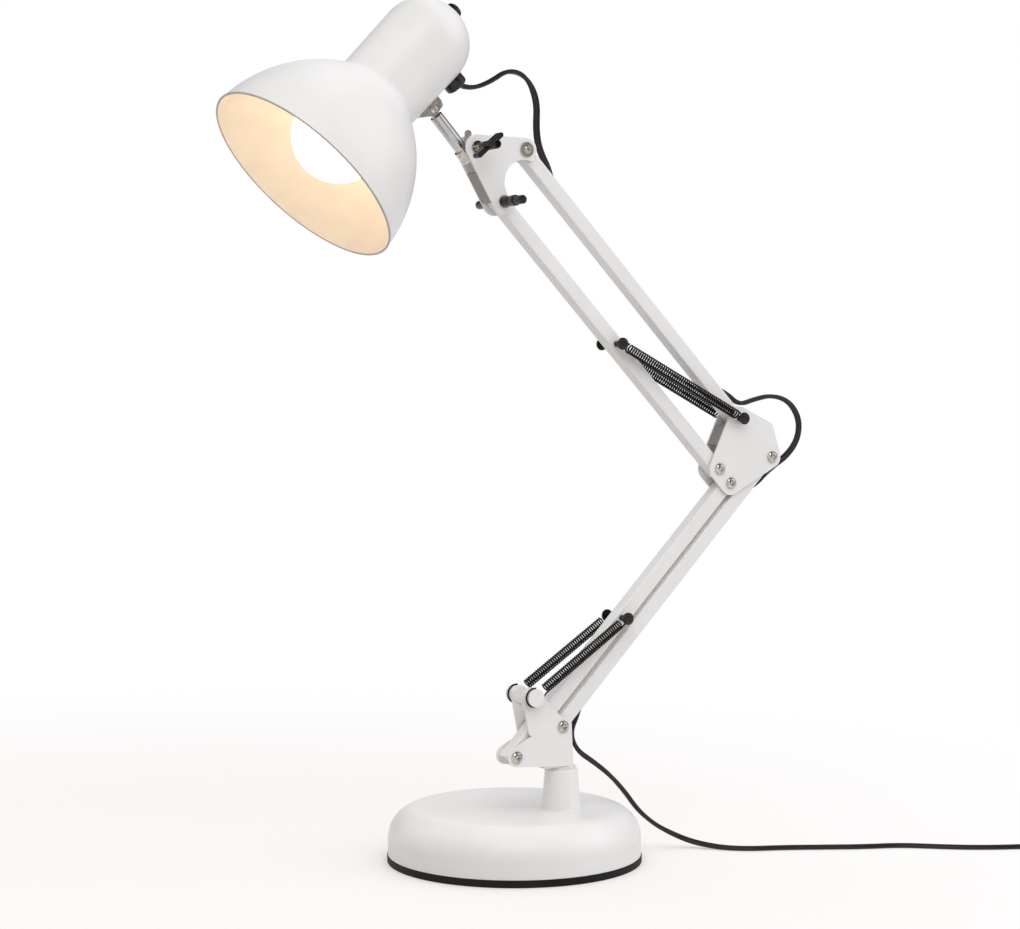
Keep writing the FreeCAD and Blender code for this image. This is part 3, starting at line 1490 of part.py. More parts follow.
face = s.cord_over_face
up_far, up_near = up_slots[1][1], up_slots[0][0]
low_far, low_near = low_slots[1][1], low_slots[0][0]
up_inside = inside_run(up_far - s.cord_dive_far, up_near + s.cord_dive_far)
low_inside = inside_run(low_far - s.cord_dive_far, low_near + s.cord_dive_far)
head_loop = [
    shade_point(s.gland_up, s.cord_in_shade),
    shade_point(s.gland_up, s.cord_in_gland),
    *[arm_point(*spot) for spot in HEAD_LOOP],
    upper_point(up_far - s.cord_dive_near, face),
]
elbow_loop = [
    upper_point(up_near + s.cord_dive_near, face),
    *[arm_point(*spot) for spot in ELBOW_LOOP],
    lower_point(low_far - s.cord_dive_near, face),
]
low_loop = [lower_point(low_near + s.cord_dive_near, face), *[arm_point(*spot) for spot in POST_LOOP]]

# The coil: two spiral layers on the floor, in one way round and out above it.
heading = math.radians(s.coil_heading)
coil_outer = s.coil_inner + s.coil_pitch * s.coil_turns_a_layer
floor = s.cord_radius
quarters_in = int(4 * s.coil_turns_a_layer)
spin = []
for quarter in range(quarters_in + 1):
    spin.append((quarter, coil_outer - s.coil_pitch * quarter / 4, 0.0))
for step in (1, 2):
    spin.append((quarters_in + step, s.coil_inner, s.coil_layer_high * step / 2))
for quarter in range(1, quarters_in + 1):
    spin.append((quarters_in + 2 + quarter, s.coil_inner + s.coil_pitch * quarter / 4, s.coil_layer_high))
start_turn = heading + math.pi / 2
coil_start = Vector(s.coil_start_x, s.coil_start_y, floor)
coil_centre = coil_start - Vector(math.cos(start_turn), math.sin(start_turn), 0) * coil_outer


def coil_node(quarter, radius, high):
    turn = start_turn - quarter * math.pi / 2
    place = Vector(coil_centre.x + radius * math.cos(turn), coil_centre.y + radius * math.sin(turn),
                   floor + high)
    ahead = Vector(math.sin(turn), -math.cos(turn), 0)
    return place, ahead


coil_nodes = []
for index, entry in enumerate(spin):
    place, ahead = coil_node(*entry)
    if 0 < index < len(spin) - 1:
        before, after = spin[index - 1], spin[index + 1]
        out_now = Vector(place.x - coil_centre.x, place.y - coil_centre.y, 0).normalize()
        rate = (after[1] - before[1]) / math.pi
        climb = (after[2] - before[2]) / math.pi if before[2] < entry[2] < after[2] else 0.0
        ahead = (ahead * entry[1] + out_now * rate + Z_AXIS * climb).normalize()
    coil_nodes.append((place, ahead))
coil_in, coil_out = coil_nodes[0], coil_nodes[-1]
floor_run = [
    Vector(*TOUCHDOWN, floor + s.cord_touchdown),
    *[Vector(*spot, floor) for spot in FLOOR_RUN],
    coil_in[0] - coil_in[1] * s.coil_lead,
]


def cord(label, points, halved=(True, True)):
    """A round tube through the points: straight runs, and an arc round each point between.

    A piece that starts or ends in the middle of a run counts that run's whole length.
    """
    edges = []
    radii = []
    last = points[0]
    for index, corner in enumerate(points[1:-1], start=1):
        into, away = corner - points[index - 1], points[index + 1] - corner
        whole_into = into.Length * (2 if index == 1 and halved[0] else 1)
        whole_away = away.Length * (2 if index == len(points) - 2 and halved[1] else 1)
        half = into.getAngle(away) / 2
        cut = s.bend_share * min(whole_into, whole_away)
        radii.append(cut / math.tan(half))
        enter = corner - Vector(into).normalize() * cut
        leave = corner + Vector(away).normalize() * cut
        inward = (Vector(away).normalize() - Vector(into).normalize()).normalize()
        centre = corner + inward * (radii[-1] / math.cos(half))
        edges.append(Part.LineSegment(last, enter).toShape())
        edges.append(Part.Arc(enter, centre - inward * radii[-1], leave).toShape())
        last = leave
    edges.append(Part.LineSegment(last, points[-1]).toShape())
    ahead = (points[1] - points[0]).normalize()
    tube, wire = swept(label, edges, s.cord_radius, points[0], ahead)
    print(f"{label}: least bend radius {min(radii):.1f} mm")
    return feature(label, tube)


def between(one, two):
    return (one + two) / 2


upper_run = [upper_point(*spot) for spot in up_inside]
lower_run = [lower_point(*spot) for spot in low_inside]


def piece(label, points, start, stop):
    """The stretch from the middle of one run to the middle of another, or from an end."""
    first = [] if start is None else [between(points[start], points[start + 1])]
    final = [] if stop is None else [between(points[stop], points[stop + 1])]
    low = 0 if start is None else start + 1
    high = len(points) if stop is None else stop + 1
    cord(label, first + points[low:high] + final, (start is not None, stop is not None))


whole = head_loop + upper_run + elbow_loop + lower_run + low_loop + floor_run
upper_middle = len(head_loop) + 3
elbow_first = len(head_loop) + len(upper_run)
lower_middle = elbow_first + len(elbow_loop) + 3
low_first = elbow_first + len(elbow_loop) + len(lower_run)
floor_first = low_first + len(low_loop)
piece("cord_shade_to_stem", whole, None, 2)
piece("cord_stem_to_head", whole, 2, 5)
piece("cord_head_to_upper_arm", whole, 5, upper_middle)
piece("cord_upper_arm_to_elbow", whole, upper_middle, elbow_first + 4)
piece("cord_elbow_to_lower_arm", whole, elbow_first + 4, lower_middle)
piece("cord_lower_arm_to_swivel", whole, lower_middle, low_first + 2)
piece("cord_swivel_to_base", whole, low_first + 2, floor_first + 1)
cord("cord_on_floor", [between(whole[floor_first + 1], whole[floor_first + 2])]
     + whole[floor_first + 2 :] + [coil_in[0]], (True, False))

coil_edges = [Part.LineSegment(coil_in[0], coil_in[0] + coil_in[1] * 2 * s.cord_radius).toShape()]
shift = coil_in[1] * 2 * s.cord_radius
wound = [(place + shift, ahead) for place, ahead in coil_nodes]
for one, two in zip(wound, wound[1:]):
    coil_edges += biarc(one, two)
tail_start = wound[-1][0]
tail_end = tail_start + wound[-1][1] * s.coil_tail
coil_edges.append(Part.LineSegment(tail_start, tail_end).toShape())
coil_tube, coil_wire = swept("cord_coil", coil_edges, s.cord_radius, coil_in[0], coil_in[1])
print(f"cord_coil: least gap to itself {least_gap(coil_wire, s.cord_radius, s.coil_inner):.2f} mm")
feature("cord_coil", coil_tube)

# The plug: a moulded body with a sleeve for the cord and two pins.
plug_axis = wound[-1][1]
side_axis = Rotation(Z_AXIS, plug_axis).inverted().multVec(Z_AXIS)
plug_turn = math.degrees(math.atan2(side_axis.y, side_axis.x))
plug_place = Placement(tail_end, Rotation(Z_AXIS, plug_axis).multiply(Rotation(Z_AXIS, plug_turn - 90)))
plug = new_body("plug_body", plug_place)
half_wide, half_thick = s.plug_wide / 2, s.plug_thick / 2
lift = s.plug_thick / 2 - tail_end.z
rim = half_thick * half_turn
plug_outline = polyline([
    (half_thick - half_wide, lift - half_thick),
    (half_wide - half_thick, lift - half_thick),
    (half_wide, lift, half_wide - half_thick, lift + half_thick),
    (half_thick - half_wide, lift + half_thick),
    (-half_wide, lift, half_thick - half_wide, lift - half_thick),
])
pad(plug, new_sketch(plug, "XY_Plane", plug_outline, "plug_sleeve_long"), "plug_long")
pad(plug, new_sketch(plug, "XY_Plane", [ring(0, 0, s.plug_sleeve_radius)]), "plug_sleeve_long + overrun")
pin_spots = [(side * s.plug_pin_apart / 2, lift) for side in (-1, 1)]
pin_holes = [ring(*spot, s.plug_pin_radius) for spot in pin_spots]
holes_at = new_sketch(plug, "XY_Plane", pin_holes, "plug_sleeve_long + plug_long")
pocket(plug, holes_at, "plug_pin_in")
keep("plug_body", plug)
pins = []
pin_from = s.plug_sleeve_long + s.plug_long - s.plug_pin_in
for spot in pin_spots:
    foot_point = plug_place.multVec(Vector(*spot, pin_from))
    pin_end = s.plug_pin_in + s.plug_pin_long
    pins.append(turned(
        f"plug_pin_{len(pins) + 1}",
        [
            (0, 0),
            (s.plug_pin_radius, 0),
            (s.plug_pin_radius, pin_end - s.plug_pin_radius),
            (s.plug_pin_radius * half_turn, pin_end - s.plug_pin_radius * (1 - half_turn), 0, pin_end),
        ],
        foot_point,
        plug_axis,
    ))
group("plug_pins", pins)


# Every piece has to be sound before any is written.
for thing in doc.Objects:
    if {"Invalid", "Error"} & set(thing.State):
        raise ValueError(f"{thing.Label} did not compute: {thing.State}")
for label, thing in nodes.items():
    if thing.Shape.isNull() or not thing.Shape.isValid() or thing.Shape.Volume <= 0:
        raise ValueError(f"{label} has no sound shape")
for label, thing in nodes.items():
    thing.Shape.exportStep(f"parts/{label}.step")
print(f"{len(nodes)} nodes written")
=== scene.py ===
# %% [markdown]
# # A swing-arm desk lamp
# The lamp is white powder-coated steel on a heavy round base. Two pairs of square tubes swing as
# parallelograms, springs carry their weight, and a black flat flex runs through the outer tubes.
# The solids come in as a fixed frame. Each piece is then given its real surface: turned shells are
# spun from fine profiles, pressed and sawn parts keep the solids' faces with their edges eased.

import json
import math

import bmesh
import bpy
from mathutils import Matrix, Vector

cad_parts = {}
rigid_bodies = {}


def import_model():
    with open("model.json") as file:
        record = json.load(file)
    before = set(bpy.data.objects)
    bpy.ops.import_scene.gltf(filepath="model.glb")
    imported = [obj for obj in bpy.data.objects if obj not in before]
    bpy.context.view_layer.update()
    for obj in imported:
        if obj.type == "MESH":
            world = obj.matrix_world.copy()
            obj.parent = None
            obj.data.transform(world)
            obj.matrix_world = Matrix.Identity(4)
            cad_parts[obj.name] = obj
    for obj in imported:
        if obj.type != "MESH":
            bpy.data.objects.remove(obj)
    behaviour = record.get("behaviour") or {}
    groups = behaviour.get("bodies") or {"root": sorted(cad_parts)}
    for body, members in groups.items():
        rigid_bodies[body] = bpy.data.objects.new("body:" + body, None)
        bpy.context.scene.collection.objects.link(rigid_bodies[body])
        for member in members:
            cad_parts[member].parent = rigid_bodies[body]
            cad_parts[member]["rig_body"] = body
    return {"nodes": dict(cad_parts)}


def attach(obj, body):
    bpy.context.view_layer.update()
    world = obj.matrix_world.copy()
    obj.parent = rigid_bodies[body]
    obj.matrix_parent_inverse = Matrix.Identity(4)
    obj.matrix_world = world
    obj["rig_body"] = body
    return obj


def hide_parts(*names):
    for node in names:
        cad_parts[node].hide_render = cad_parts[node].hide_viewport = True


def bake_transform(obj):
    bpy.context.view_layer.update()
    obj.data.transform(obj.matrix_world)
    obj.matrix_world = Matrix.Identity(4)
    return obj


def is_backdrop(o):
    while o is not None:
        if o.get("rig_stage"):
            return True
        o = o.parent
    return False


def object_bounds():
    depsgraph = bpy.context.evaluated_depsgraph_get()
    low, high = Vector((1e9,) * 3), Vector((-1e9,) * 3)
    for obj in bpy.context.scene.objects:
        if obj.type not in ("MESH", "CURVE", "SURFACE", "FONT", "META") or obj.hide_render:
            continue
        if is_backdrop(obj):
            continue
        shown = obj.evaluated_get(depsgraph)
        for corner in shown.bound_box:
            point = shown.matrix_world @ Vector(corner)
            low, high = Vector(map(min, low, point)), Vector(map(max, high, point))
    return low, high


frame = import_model()
cad_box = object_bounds()

# %% [markdown]
# ## Places
# The lamp is laid out from the post: x runs along the arms' plane and z up, in millimetres. The
# pivots, the shade's axis and the tubes' directions are the same values as in the solids' source,
# so whatever is made here meets them without fitting.

# %% Pivots and directions
MM = 0.001
POST = Vector((22.0, -24.0, 0.0)) * MM
Y_AXIS = Vector((0.0, 1.0, 0.0))
Z_AXIS = Vector((0.0, 0.0, 1.0))
LOW_ARM = Vector((175.0, 0.0, 176.0))
UP_ARM = Vector((-174.5, 0.0, 178.5))
SHADE_LEAN = math.radians(46.0)
WING_TO_CREASE = Vector((-71.6, 0.0, 28.55))


def arm_point(x, z, y=0.0):
    """A place in the arms' plane, in millimetres from the post's axis and the floor."""
    return POST + Vector((x, y, z)) * MM


pivot_a = arm_point(-3.5, 92.0)
pivot_b = arm_point(-39.5, 74.5)
pivot_e = arm_point(126.0, 260.5)
pivot_f = arm_point(143.0, 295.5)
pivot_w = arm_point(-69.0, 473.5)
up_axis = Vector((math.cos(SHADE_LEAN), 0.0, math.sin(SHADE_LEAN)))
out_axis = Vector((math.sin(SHADE_LEAN), 0.0, -math.cos(SHADE_LEAN)))
crease = pivot_w + WING_TO_CREASE * MM


def shade_point(up, out):
    """A place on the shade's own axes: up towards the dome, out towards the stem."""
    return crease + (up_axis * up + out_axis * out) * MM


def beside_bar(pivot, direction, along, out):
    """A place beside a tube: along it from its pivot, and out on the side with the slots."""
    ahead = direction.normalized()
    aside = Vector((ahead.z, 0.0, -ahead.x))
    return pivot + (ahead * along + aside * out) * MM


print(f"the arms are {LOW_ARM.length:.1f} and {UP_ARM.length:.1f} mm between pivots")

# %% [markdown]
# ## Camera
# The photograph looks at the lamp from about 1.5 m away, level, with a long lens, 31 degrees from
# square on the arms' plane. The picture's middle lies below the horizon, which a small lens shift
# gives.

# %% Camera
VIEW_TURN = math.radians(31.0)
VIEW_FAR = 1.480
VIEW_ASIDE = -0.003
VIEW_HIGH = 0.323
FOCAL_MM = 77.65
SHIFT_DOWN = -0.0838
CLIP_FAR = 30.0


def put(name, data):
    """An object for this camera, light, curve or mesh, linked into the scene."""
    thing = bpy.data.objects.new(name, data)
    bpy.context.scene.collection.objects.link(thing)
    return thing


view_right = Vector((math.cos(VIEW_TURN), -math.sin(VIEW_TURN), 0.0))
view_ahead = Vector((math.sin(VIEW_TURN), math.cos(VIEW_TURN), 0.0))
camera_data = bpy.data.cameras.new("camera")
camera_data.lens = FOCAL_MM
camera_data.shift_y = SHIFT_DOWN
camera_data.clip_end = CLIP_FAR
camera = put("camera", camera_data)
camera.location = view_right * VIEW_ASIDE - view_ahead * VIEW_FAR + Z_AXIS * VIEW_HIGH
camera.rotation_euler = (math.radians(90.0), 0.0, -VIEW_TURN)
bpy.context.scene.camera = camera
print("camera at", tuple(round(value, 3) for value in camera.location))

# %% [markdown]
# ## Helpers
# A colour is written as the sRGB hex value that the eye sees and turned to linear once. One
# function adds any node with its settings and links, for shaders and for geometry.

# %% Colour and nodes
def linear(hex_code):
    """An sRGB hex colour as the linear values that a shader needs."""
    values = [int(hex_code[place : place + 2], 16) / 255 for place in (1, 3, 5)]
    curved = [v / 12.92 if v <= 0.04045 else ((v + 0.055) / 1.055) ** 2.4 for v in values]
    return (*curved, 1.0)


def add(tree, kind, settings=(), links=()):
    """Adds a node. Links are (socket, value): a plain value or another node's output."""
    node = tree.nodes.new(kind)
    for name, value in dict(settings).items():
        setattr(node, name, value)
    for name, value in links:
        socket = node.inputs[name]
        if isinstance(value, bpy.types.NodeSocket):
            tree.links.new(value, socket)
        else:
            socket.default_value = value
    return node


print(f"middle grey, #808080, is {linear('#808080')[0]:.3f} in linear light")

# %% [markdown]
# ## Finishes
# No coating is one flat colour. Each finish has two near colours in soft patches and a fine
# relief, and the roughness follows the relief, so a highlight's edge is a little uneven. Sizes are
# real ones in millimetres. The grain of plate, wire and mouldings is really finer than 0.1 mm and
# wouldn't show, so it is drawn at 0.25 to 0.7 mm.

# %% What every finish has
PATCH_STOPS = (0.35, 0.65)
PATCH_DETAIL, GRAIN_DETAIL = 3.0, 2.0
BUMP_STRENGTH = 0.5


def mottle(tree, shader, light, dark, patch_mm):
    """Two near colours in soft patches, as a coating or moulding has them."""
    coordinates = add(tree, "ShaderNodeTexCoord")
    noise = add(tree, "ShaderNodeTexNoise", (), [
        ("Vector", coordinates.outputs["Object"]), ("Scale", 1 / (patch_mm * MM)),
        ("Detail", PATCH_DETAIL)])
    ramp = add(tree, "ShaderNodeValToRGB", (), [("Fac", noise.outputs["Fac"])])
    for stop, share, colour in zip(ramp.color_ramp.elements, PATCH_STOPS, (dark, light)):
        stop.position = share
        stop.color = linear(colour)
    tree.links.new(ramp.outputs["Color"], shader.inputs["Base Color"])
    return coordinates


def grain(tree, shader, coordinates, grain_mm, depth_mm, low, high):
    """Fine relief, with the roughness following it between low and high."""
    noise = add(tree, "ShaderNodeTexNoise", (), [
        ("Vector", coordinates.outputs["Object"]), ("Scale", 1 / (grain_mm * MM)),
        ("Detail", GRAIN_DETAIL)])
    bump = add(tree, "ShaderNodeBump", (), [
        ("Strength", BUMP_STRENGTH), ("Distance", depth_mm * MM), ("Height", noise.outputs["Fac"])])
    spread = add(tree, "ShaderNodeMapRange", (), [
        ("Value", noise.outputs["Fac"]), ("To Min", low), ("To Max", high)])
    tree.links.new(bump.outputs["Normal"], shader.inputs["Normal"])
    tree.links.new(spread.outputs["Result"], shader.inputs["Roughness"])


def finish(name, base, patches, relief=None, sockets=()):
    """A material of its own. Patches are (light, dark, size in mm). Relief is (size in mm, depth in
    mm, lowest and highest roughness). Sockets are the shader's own plain values, by their names."""
    material = bpy.data.materials.new(name)
    material.use_nodes = True
    material.diffuse_color = linear(base)
    tree = material.node_tree
    shader = tree.nodes["Principled BSDF"]
    for socket, value in {"Base Color": linear(base), **dict(sockets)}.items():
        shader.inputs[socket].default_value = value
    coordinates = mottle(tree, shader, *patches)
    if relief:
        grain(tree, shader, coordinates, *relief)
    return material


print("patches blend between", PATCH_STOPS, "of their noise, which runs from 0 to 1")

# %% [markdown]
# Powder coat is sprayed plastic baked on steel. It levels with a faint orange peel, so highlights
# are broad with a slightly uneven edge. Inside the shade the coat lies thin and matt. The rolled
# rim and the webs that sit back between two cheeks take a grey painted shade, as they lie in
# shadow.

# %% White powder coat
COAT = {"IOR": 1.5}
white = finish("white_powder_coat", "#E9E8E6", ("#EAE9E7", "#E7E6E4", 28.0),
               (2.0, 0.008, 0.31, 0.38), COAT)
# Thinner and matt, so that it scatters the lamp's light.
inside_white = finish("matt_white_reflector", "#E6E1D8", ("#E8E3DA", "#E3DED4", 20.0),
                      (1.2, 0.010, 0.52, 0.62), COAT)
# Painted shade: a thin warm grey line round the mouth, on the rolled edge, where it lies in shadow.
rim_painted_shade = finish("painted_shade_on_rim", "#B5ADA9", ("#B9B1AD", "#AFA7A3", 9.0),
                   (0.8, 0.010, 0.34, 0.44), COAT)
# Painted shade: grey webs between a bracket's two cheeks, where shade falls, with the rest's sheen.
web_painted_shade = finish("painted_shade_on_web", "#8C8985", ("#8C8985", "#84817D", 9.0),
                   (1.2, 0.010, 0.36, 0.46), COAT)
print("coats:", ", ".join(coat.name for coat in (white, inside_white, rim_painted_shade, web_painted_shade)))

# %% [markdown]
# Screws and washers are steel with a bright nickel plate: metal with a little haze from the
# tumbling. The stem is drawn rod, polished and chromed. The pins are turned brass and the lamp's
# cap is rolled aluminium. The weight is cast iron, raw from the mould and coarse.

# %% Bare and plated metal
METAL = {"Metallic": 1.0}
IRON_METALLIC = 0.9
plated = finish("nickel_plated_steel", "#B4AEA6", ("#CFCAC4", "#AFA8A0", 2.5),
                (0.35, 0.004, 0.08, 0.20), METAL)
chromed = finish("chromed_steel", "#BDBBBA", ("#C2C0BF", "#B3B1B0", 6.0),
                 (0.25, 0.003, 0.07, 0.15), METAL)
brass = finish("turned_brass", "#C9A35A", ("#D0AC66", "#BC954C", 3.0),
               (0.3, 0.004, 0.20, 0.32), METAL)
cap_metal = finish("rolled_aluminium_cap", "#BFBFC1", ("#C6C6C8", "#B3B3B6", 3.0),
                   (0.4, 0.006, 0.25, 0.38), METAL)
iron = finish("raw_cast_iron", "#55524F", ("#5F5B57", "#47423E", 6.0),
              (1.4, 0.15, 0.55, 0.75), {"Metallic": IRON_METALLIC})
print("metals:", ", ".join(metal.name for metal in (plated, chromed, brass, cap_metal, iron)))

# %% [markdown]
# The springs are black-oxided wire: a thin dark skin over metal, nearly black with small bright
# glints. The caps and grips are black nylon, glossy from the mould with a fine spark-eroded grain.
# The foot is dull rubber, and the flex is extruded PVC, smooth along its length with a soft sheen.

# %% Blackened wire and black mouldings
# Matched to the photograph, whose blacks shine less than the shader's usual 0.5 gives.
SOFT_SHEEN, MOULD_SHEEN = 0.22, 0.36
OXIDE_METALLIC = 0.3
RUBBER_IOR, PLASTIC_IOR = 1.52, 1.53
blackened = finish("black_oxide_spring_wire", "#1D1916", ("#221D19", "#161311", 3.0),
                   (0.3, 0.004, 0.26, 0.38),
                   {"Metallic": OXIDE_METALLIC, "Specular IOR Level": SOFT_SHEEN})
moulded = finish("black_moulded_nylon", "#161310", ("#1A1613", "#110E0C", 5.0),
                 (0.5, 0.012, 0.22, 0.34),
                 {"IOR": PLASTIC_IOR, "Specular IOR Level": MOULD_SHEEN})
rubber = finish("black_foot_rubber", "#161312", ("#181514", "#110F0E", 9.0),
                (0.5, 0.03, 0.55, 0.70),
                {"IOR": RUBBER_IOR, "Specular IOR Level": SOFT_SHEEN})
sheath = finish("black_pvc_flex", "#191613", ("#1C1816", "#151210", 12.0),
                (1.2, 0.01, 0.26, 0.36),
                {"IOR": PLASTIC_IOR, "Specular IOR Level": MOULD_SHEEN})
print("blacks:", ", ".join(black.name for black in (blackened, moulded, rubber, sheath)))

# %% [markdown]
# The bushes are natural nylon and the lamp holder is a white moulding. The bulb's opal glass glows
# evenly: the lamp is on, so the glass itself gives warm light.

# %% Pale mouldings and the lit glass
HOLDER_IOR, GLASS_IOR = 1.55, 1.5
GLASS_ROUGHNESS = 0.18
GLOW_COLOUR, GLOW_STRENGTH = "#FFDEB8", 2.35
nylon = finish("natural_nylon", "#E4E1D8", ("#E8E5DD", "#DEDBD2", 4.0),
               (0.5, 0.008, 0.38, 0.48), {"IOR": PLASTIC_IOR})
holder_white = finish("white_holder_moulding", "#E9E6DF", ("#ECE9E3", "#E3E0D9", 7.0),
                      (0.7, 0.008, 0.25, 0.35), {"IOR": HOLDER_IOR})
opal = finish("lit_opal_glass", "#F7F3EA", ("#F8F5EE", "#F3EFE6", 15.0), None, {
    "IOR": GLASS_IOR, "Roughness": GLASS_ROUGHNESS,
    "Emission Color": linear(GLOW_COLOUR), "Emission Strength": GLOW_STRENGTH})
print("pale:", ", ".join(pale.name for pale in (nylon, holder_white, opal)))

# %% [markdown]
# ## The flex
# The lamp's lead is a flat twin flex, 5.2 mm wide and 3 mm thick, 2.64 m long from the gland to
# the plug. It is one smooth curve: out of the gland in a loop over the head, into the upper outer
# tube by a slot, round the elbow, down the lower tube, behind the post and along the table. It is
# given by the route's corners, the same as in the solids' source.

# %% The flex's corners
FLEX_WIDE, FLEX_THICK, TABLE_GAP = 5.2, 3.0, 0.1
LIE = FLEX_THICK / 2 + TABLE_GAP
GLAND_UP, GLAND_ROOT, GLAND_OUT, GLAND_MOUTH = 50.1, 20.0, 33.5, 36.5
HEAD_LOOP = [
    (-69.5, 512.3), (-55.5, 517.5), (-41.5, 527.0), (-27.0, 523.5), (-18.8, 508.0), (-19.9, 487.5),
    (-16.8, 473.7),
]
ELBOW_LOOP = [
    (147.5, 304.6), (161.5, 308.8), (176.5, 311.5), (192.0, 307.5), (201.5, 295.0), (200.5, 280.5),
    (190.5, 268.5), (177.5, 261.5),
]
POST_LOOP = [
    (7.0, 86.0), (12.5, 73.5), (25.0, 65.3), (38.5, 55.3), (51.0, 42.5), (61.5, 29.0), (75.0, 18.0),
    (89.0, 10.2),
]
TOUCHDOWN = (124.0, -31.0, 3.9)
FLOOR_RUN = [
    (136.0, -47.0), (150.0, -60.5), (172.0, -69.0), (198.0, -83.0), (222.0, -96.0),
    (247.0, -105.0), (265.0, -121.0), (285.0, -137.0), (310.0, -150.0), (333.0, -158.0),
]
print(len(HEAD_LOOP + ELBOW_LOOP + POST_LOOP + FLOOR_RUN), "corners in the open")

# %% [markdown]
# Between the loops the flex lies inside a tube. It dives in by one slot and comes out by the
# other, and wanders a little from side to side on its way, as a pulled lead does.

# %% Through the tubes
UP_SLOTS = ((15.0, 33.0), (UP_ARM.length - 40.0, UP_ARM.length - 22.0))
LOW_SLOTS = ((13.0, 31.0), (LOW_ARM.length - 35.0, LOW_ARM.length - 17.0))
OVER_FACE = 7.6
DIVE_NEAR, DIVE_FAR = 2.9, 17.8
WANDER = 0.4
INSIDE_SHARES = (0.0, 0.12, 0.29, 0.5, 0.71, 0.88, 1.0)
INSIDE_SIDES = (0, -1, 1, -1, 1, -1, 0)


def upper_point(along, out):
    """A place beside the upper outer tube."""
    return beside_bar(pivot_f, UP_ARM, along, out)


def lower_point(along, out):
    """A place beside the lower outer tube."""
    return beside_bar(pivot_a, LOW_ARM, along, out)


def inside_run(place, one, two):
    """Points along a tube between two slots, a little to one side and the other."""
    return [
        place(one + (two - one) * share, side * WANDER)
        for share, side in zip(INSIDE_SHARES, INSIDE_SIDES)
    ]


head_loop = [
    shade_point(GLAND_UP, GLAND_ROOT),
    shade_point(GLAND_UP, GLAND_OUT),
    *[arm_point(*spot) for spot in HEAD_LOOP],
    upper_point(UP_SLOTS[1][1] - DIVE_NEAR, OVER_FACE),
]
upper_run = inside_run(upper_point, UP_SLOTS[1][1] - DIVE_FAR, UP_SLOTS[0][0] + DIVE_FAR)
elbow_loop = [
    upper_point(UP_SLOTS[0][0] + DIVE_NEAR, OVER_FACE),
    *[arm_point(*spot) for spot in ELBOW_LOOP],
    lower_point(LOW_SLOTS[1][1] - DIVE_NEAR, OVER_FACE),
]
lower_run = inside_run(lower_point, LOW_SLOTS[1][1] - DIVE_FAR, LOW_SLOTS[0][0] + DIVE_FAR)
post_loop = [
    lower_point(LOW_SLOTS[0][0] + DIVE_NEAR, OVER_FACE),
    *[arm_point(*spot) for spot in POST_LOOP],
]
print(len(upper_run), "and", len(lower_run), "points inside the tubes")

# %% [markdown]
# The rest of the lead is put away: it winds in on the table in a flat spiral and out again above
# it, to the plug. Twelve corners a turn, set out by the half step's cosine, give round turns once
# a smooth line is drawn through them.

# %% The put-away coil
COIL_INNER, COIL_PITCH, COIL_TURNS, COIL_LAYER = 20.0, 5.4, 3.75, 3.3
COIL_START = Vector((368.0, -177.0, 0.0))
COIL_HEADING = math.radians(-31.4)
COIL_LEAD, COIL_FIRST = 17.0, 4.2
COIL_TAIL, PLUG_HIGH, TAIL_SAG = 26.0, 7.1, 1.0
TURN_STEPS = 12
step_turn = 2 * math.pi / TURN_STEPS
coil_outer = COIL_INNER + COIL_PITCH * COIL_TURNS
coil_ahead = Vector((math.cos(COIL_HEADING), math.sin(COIL_HEADING), 0.0))
start_turn = COIL_HEADING + math.pi / 2
coil_centre = COIL_START + coil_ahead * COIL_FIRST
coil_centre -= Vector((math.cos(start_turn), math.sin(start_turn), 0.0)) * coil_outer


def coil_point(step, radius, high):
    """A corner of the coil, this many steps on from where it starts, in millimetres."""
    turn = start_turn - step * step_turn
    reach = radius / math.cos(step_turn / 2)
    return coil_centre + Vector((reach * math.cos(turn), reach * math.sin(turn), high))


winding_steps = int(COIL_TURNS * TURN_STEPS)
climb_steps = TURN_STEPS // 2
coil_points = []
for step in range(1, winding_steps + 1):
    coil_points.append(coil_point(step, coil_outer - COIL_PITCH * step / TURN_STEPS, LIE))
for step in range(1, climb_steps):
    high = LIE + COIL_LAYER * step / climb_steps
    coil_points.append(coil_point(winding_steps + step, COIL_INNER, high))
for step in range(winding_steps + 1):
    radius = COIL_INNER + COIL_PITCH * step / TURN_STEPS
    coil_points.append(coil_point(winding_steps + climb_steps + step, radius, LIE + COIL_LAYER))
print(f"{COIL_TURNS} turns in and {COIL_TURNS} out, {2 * coil_outer:.0f} mm across")

# %% [markdown]
# All parts of the route are joined now, from the gland over the arms and the table to the coil,
# whose last turn leaves it straight ahead and rises a little into the plug.

# %% The whole route
last_turn = start_turn - (2 * winding_steps + climb_steps) * step_turn
tail_ahead = Vector((math.sin(last_turn), -math.cos(last_turn), 0.0))
tail_start = coil_centre + Vector((math.cos(last_turn), math.sin(last_turn), 0.0)) * coil_outer
tail_half = tail_start + tail_ahead * COIL_TAIL / 2 + Z_AXIS * (PLUG_HIGH - TAIL_SAG)
tail_end = tail_start + tail_ahead * COIL_TAIL + Z_AXIS * PLUG_HIGH
floor_run = [Vector(TOUCHDOWN) * MM, *[Vector((*spot, LIE)) * MM for spot in FLOOR_RUN]]
floor_run.append((COIL_START - coil_ahead * COIL_LEAD + Z_AXIS * LIE) * MM)
floor_run.append((COIL_START + Z_AXIS * LIE) * MM)
coil_run = [point * MM for point in [*coil_points, tail_half, tail_end]]
route = head_loop + upper_run + elbow_loop + lower_run + post_loop + floor_run + coil_run
print(len(route), "corners on the flex's route")

# %% [markdown]
# A NURBS spline of order 3 rounds the corners as a stiff lead does: it touches the middle of each
# way between two corners and never overshoots one. Turned to a mesh, it gives the line's own
# points, and their distances add up to the flex's length.

# %% One line through the route
LINE_STEPS = 8
NURBS_ORDER = 3


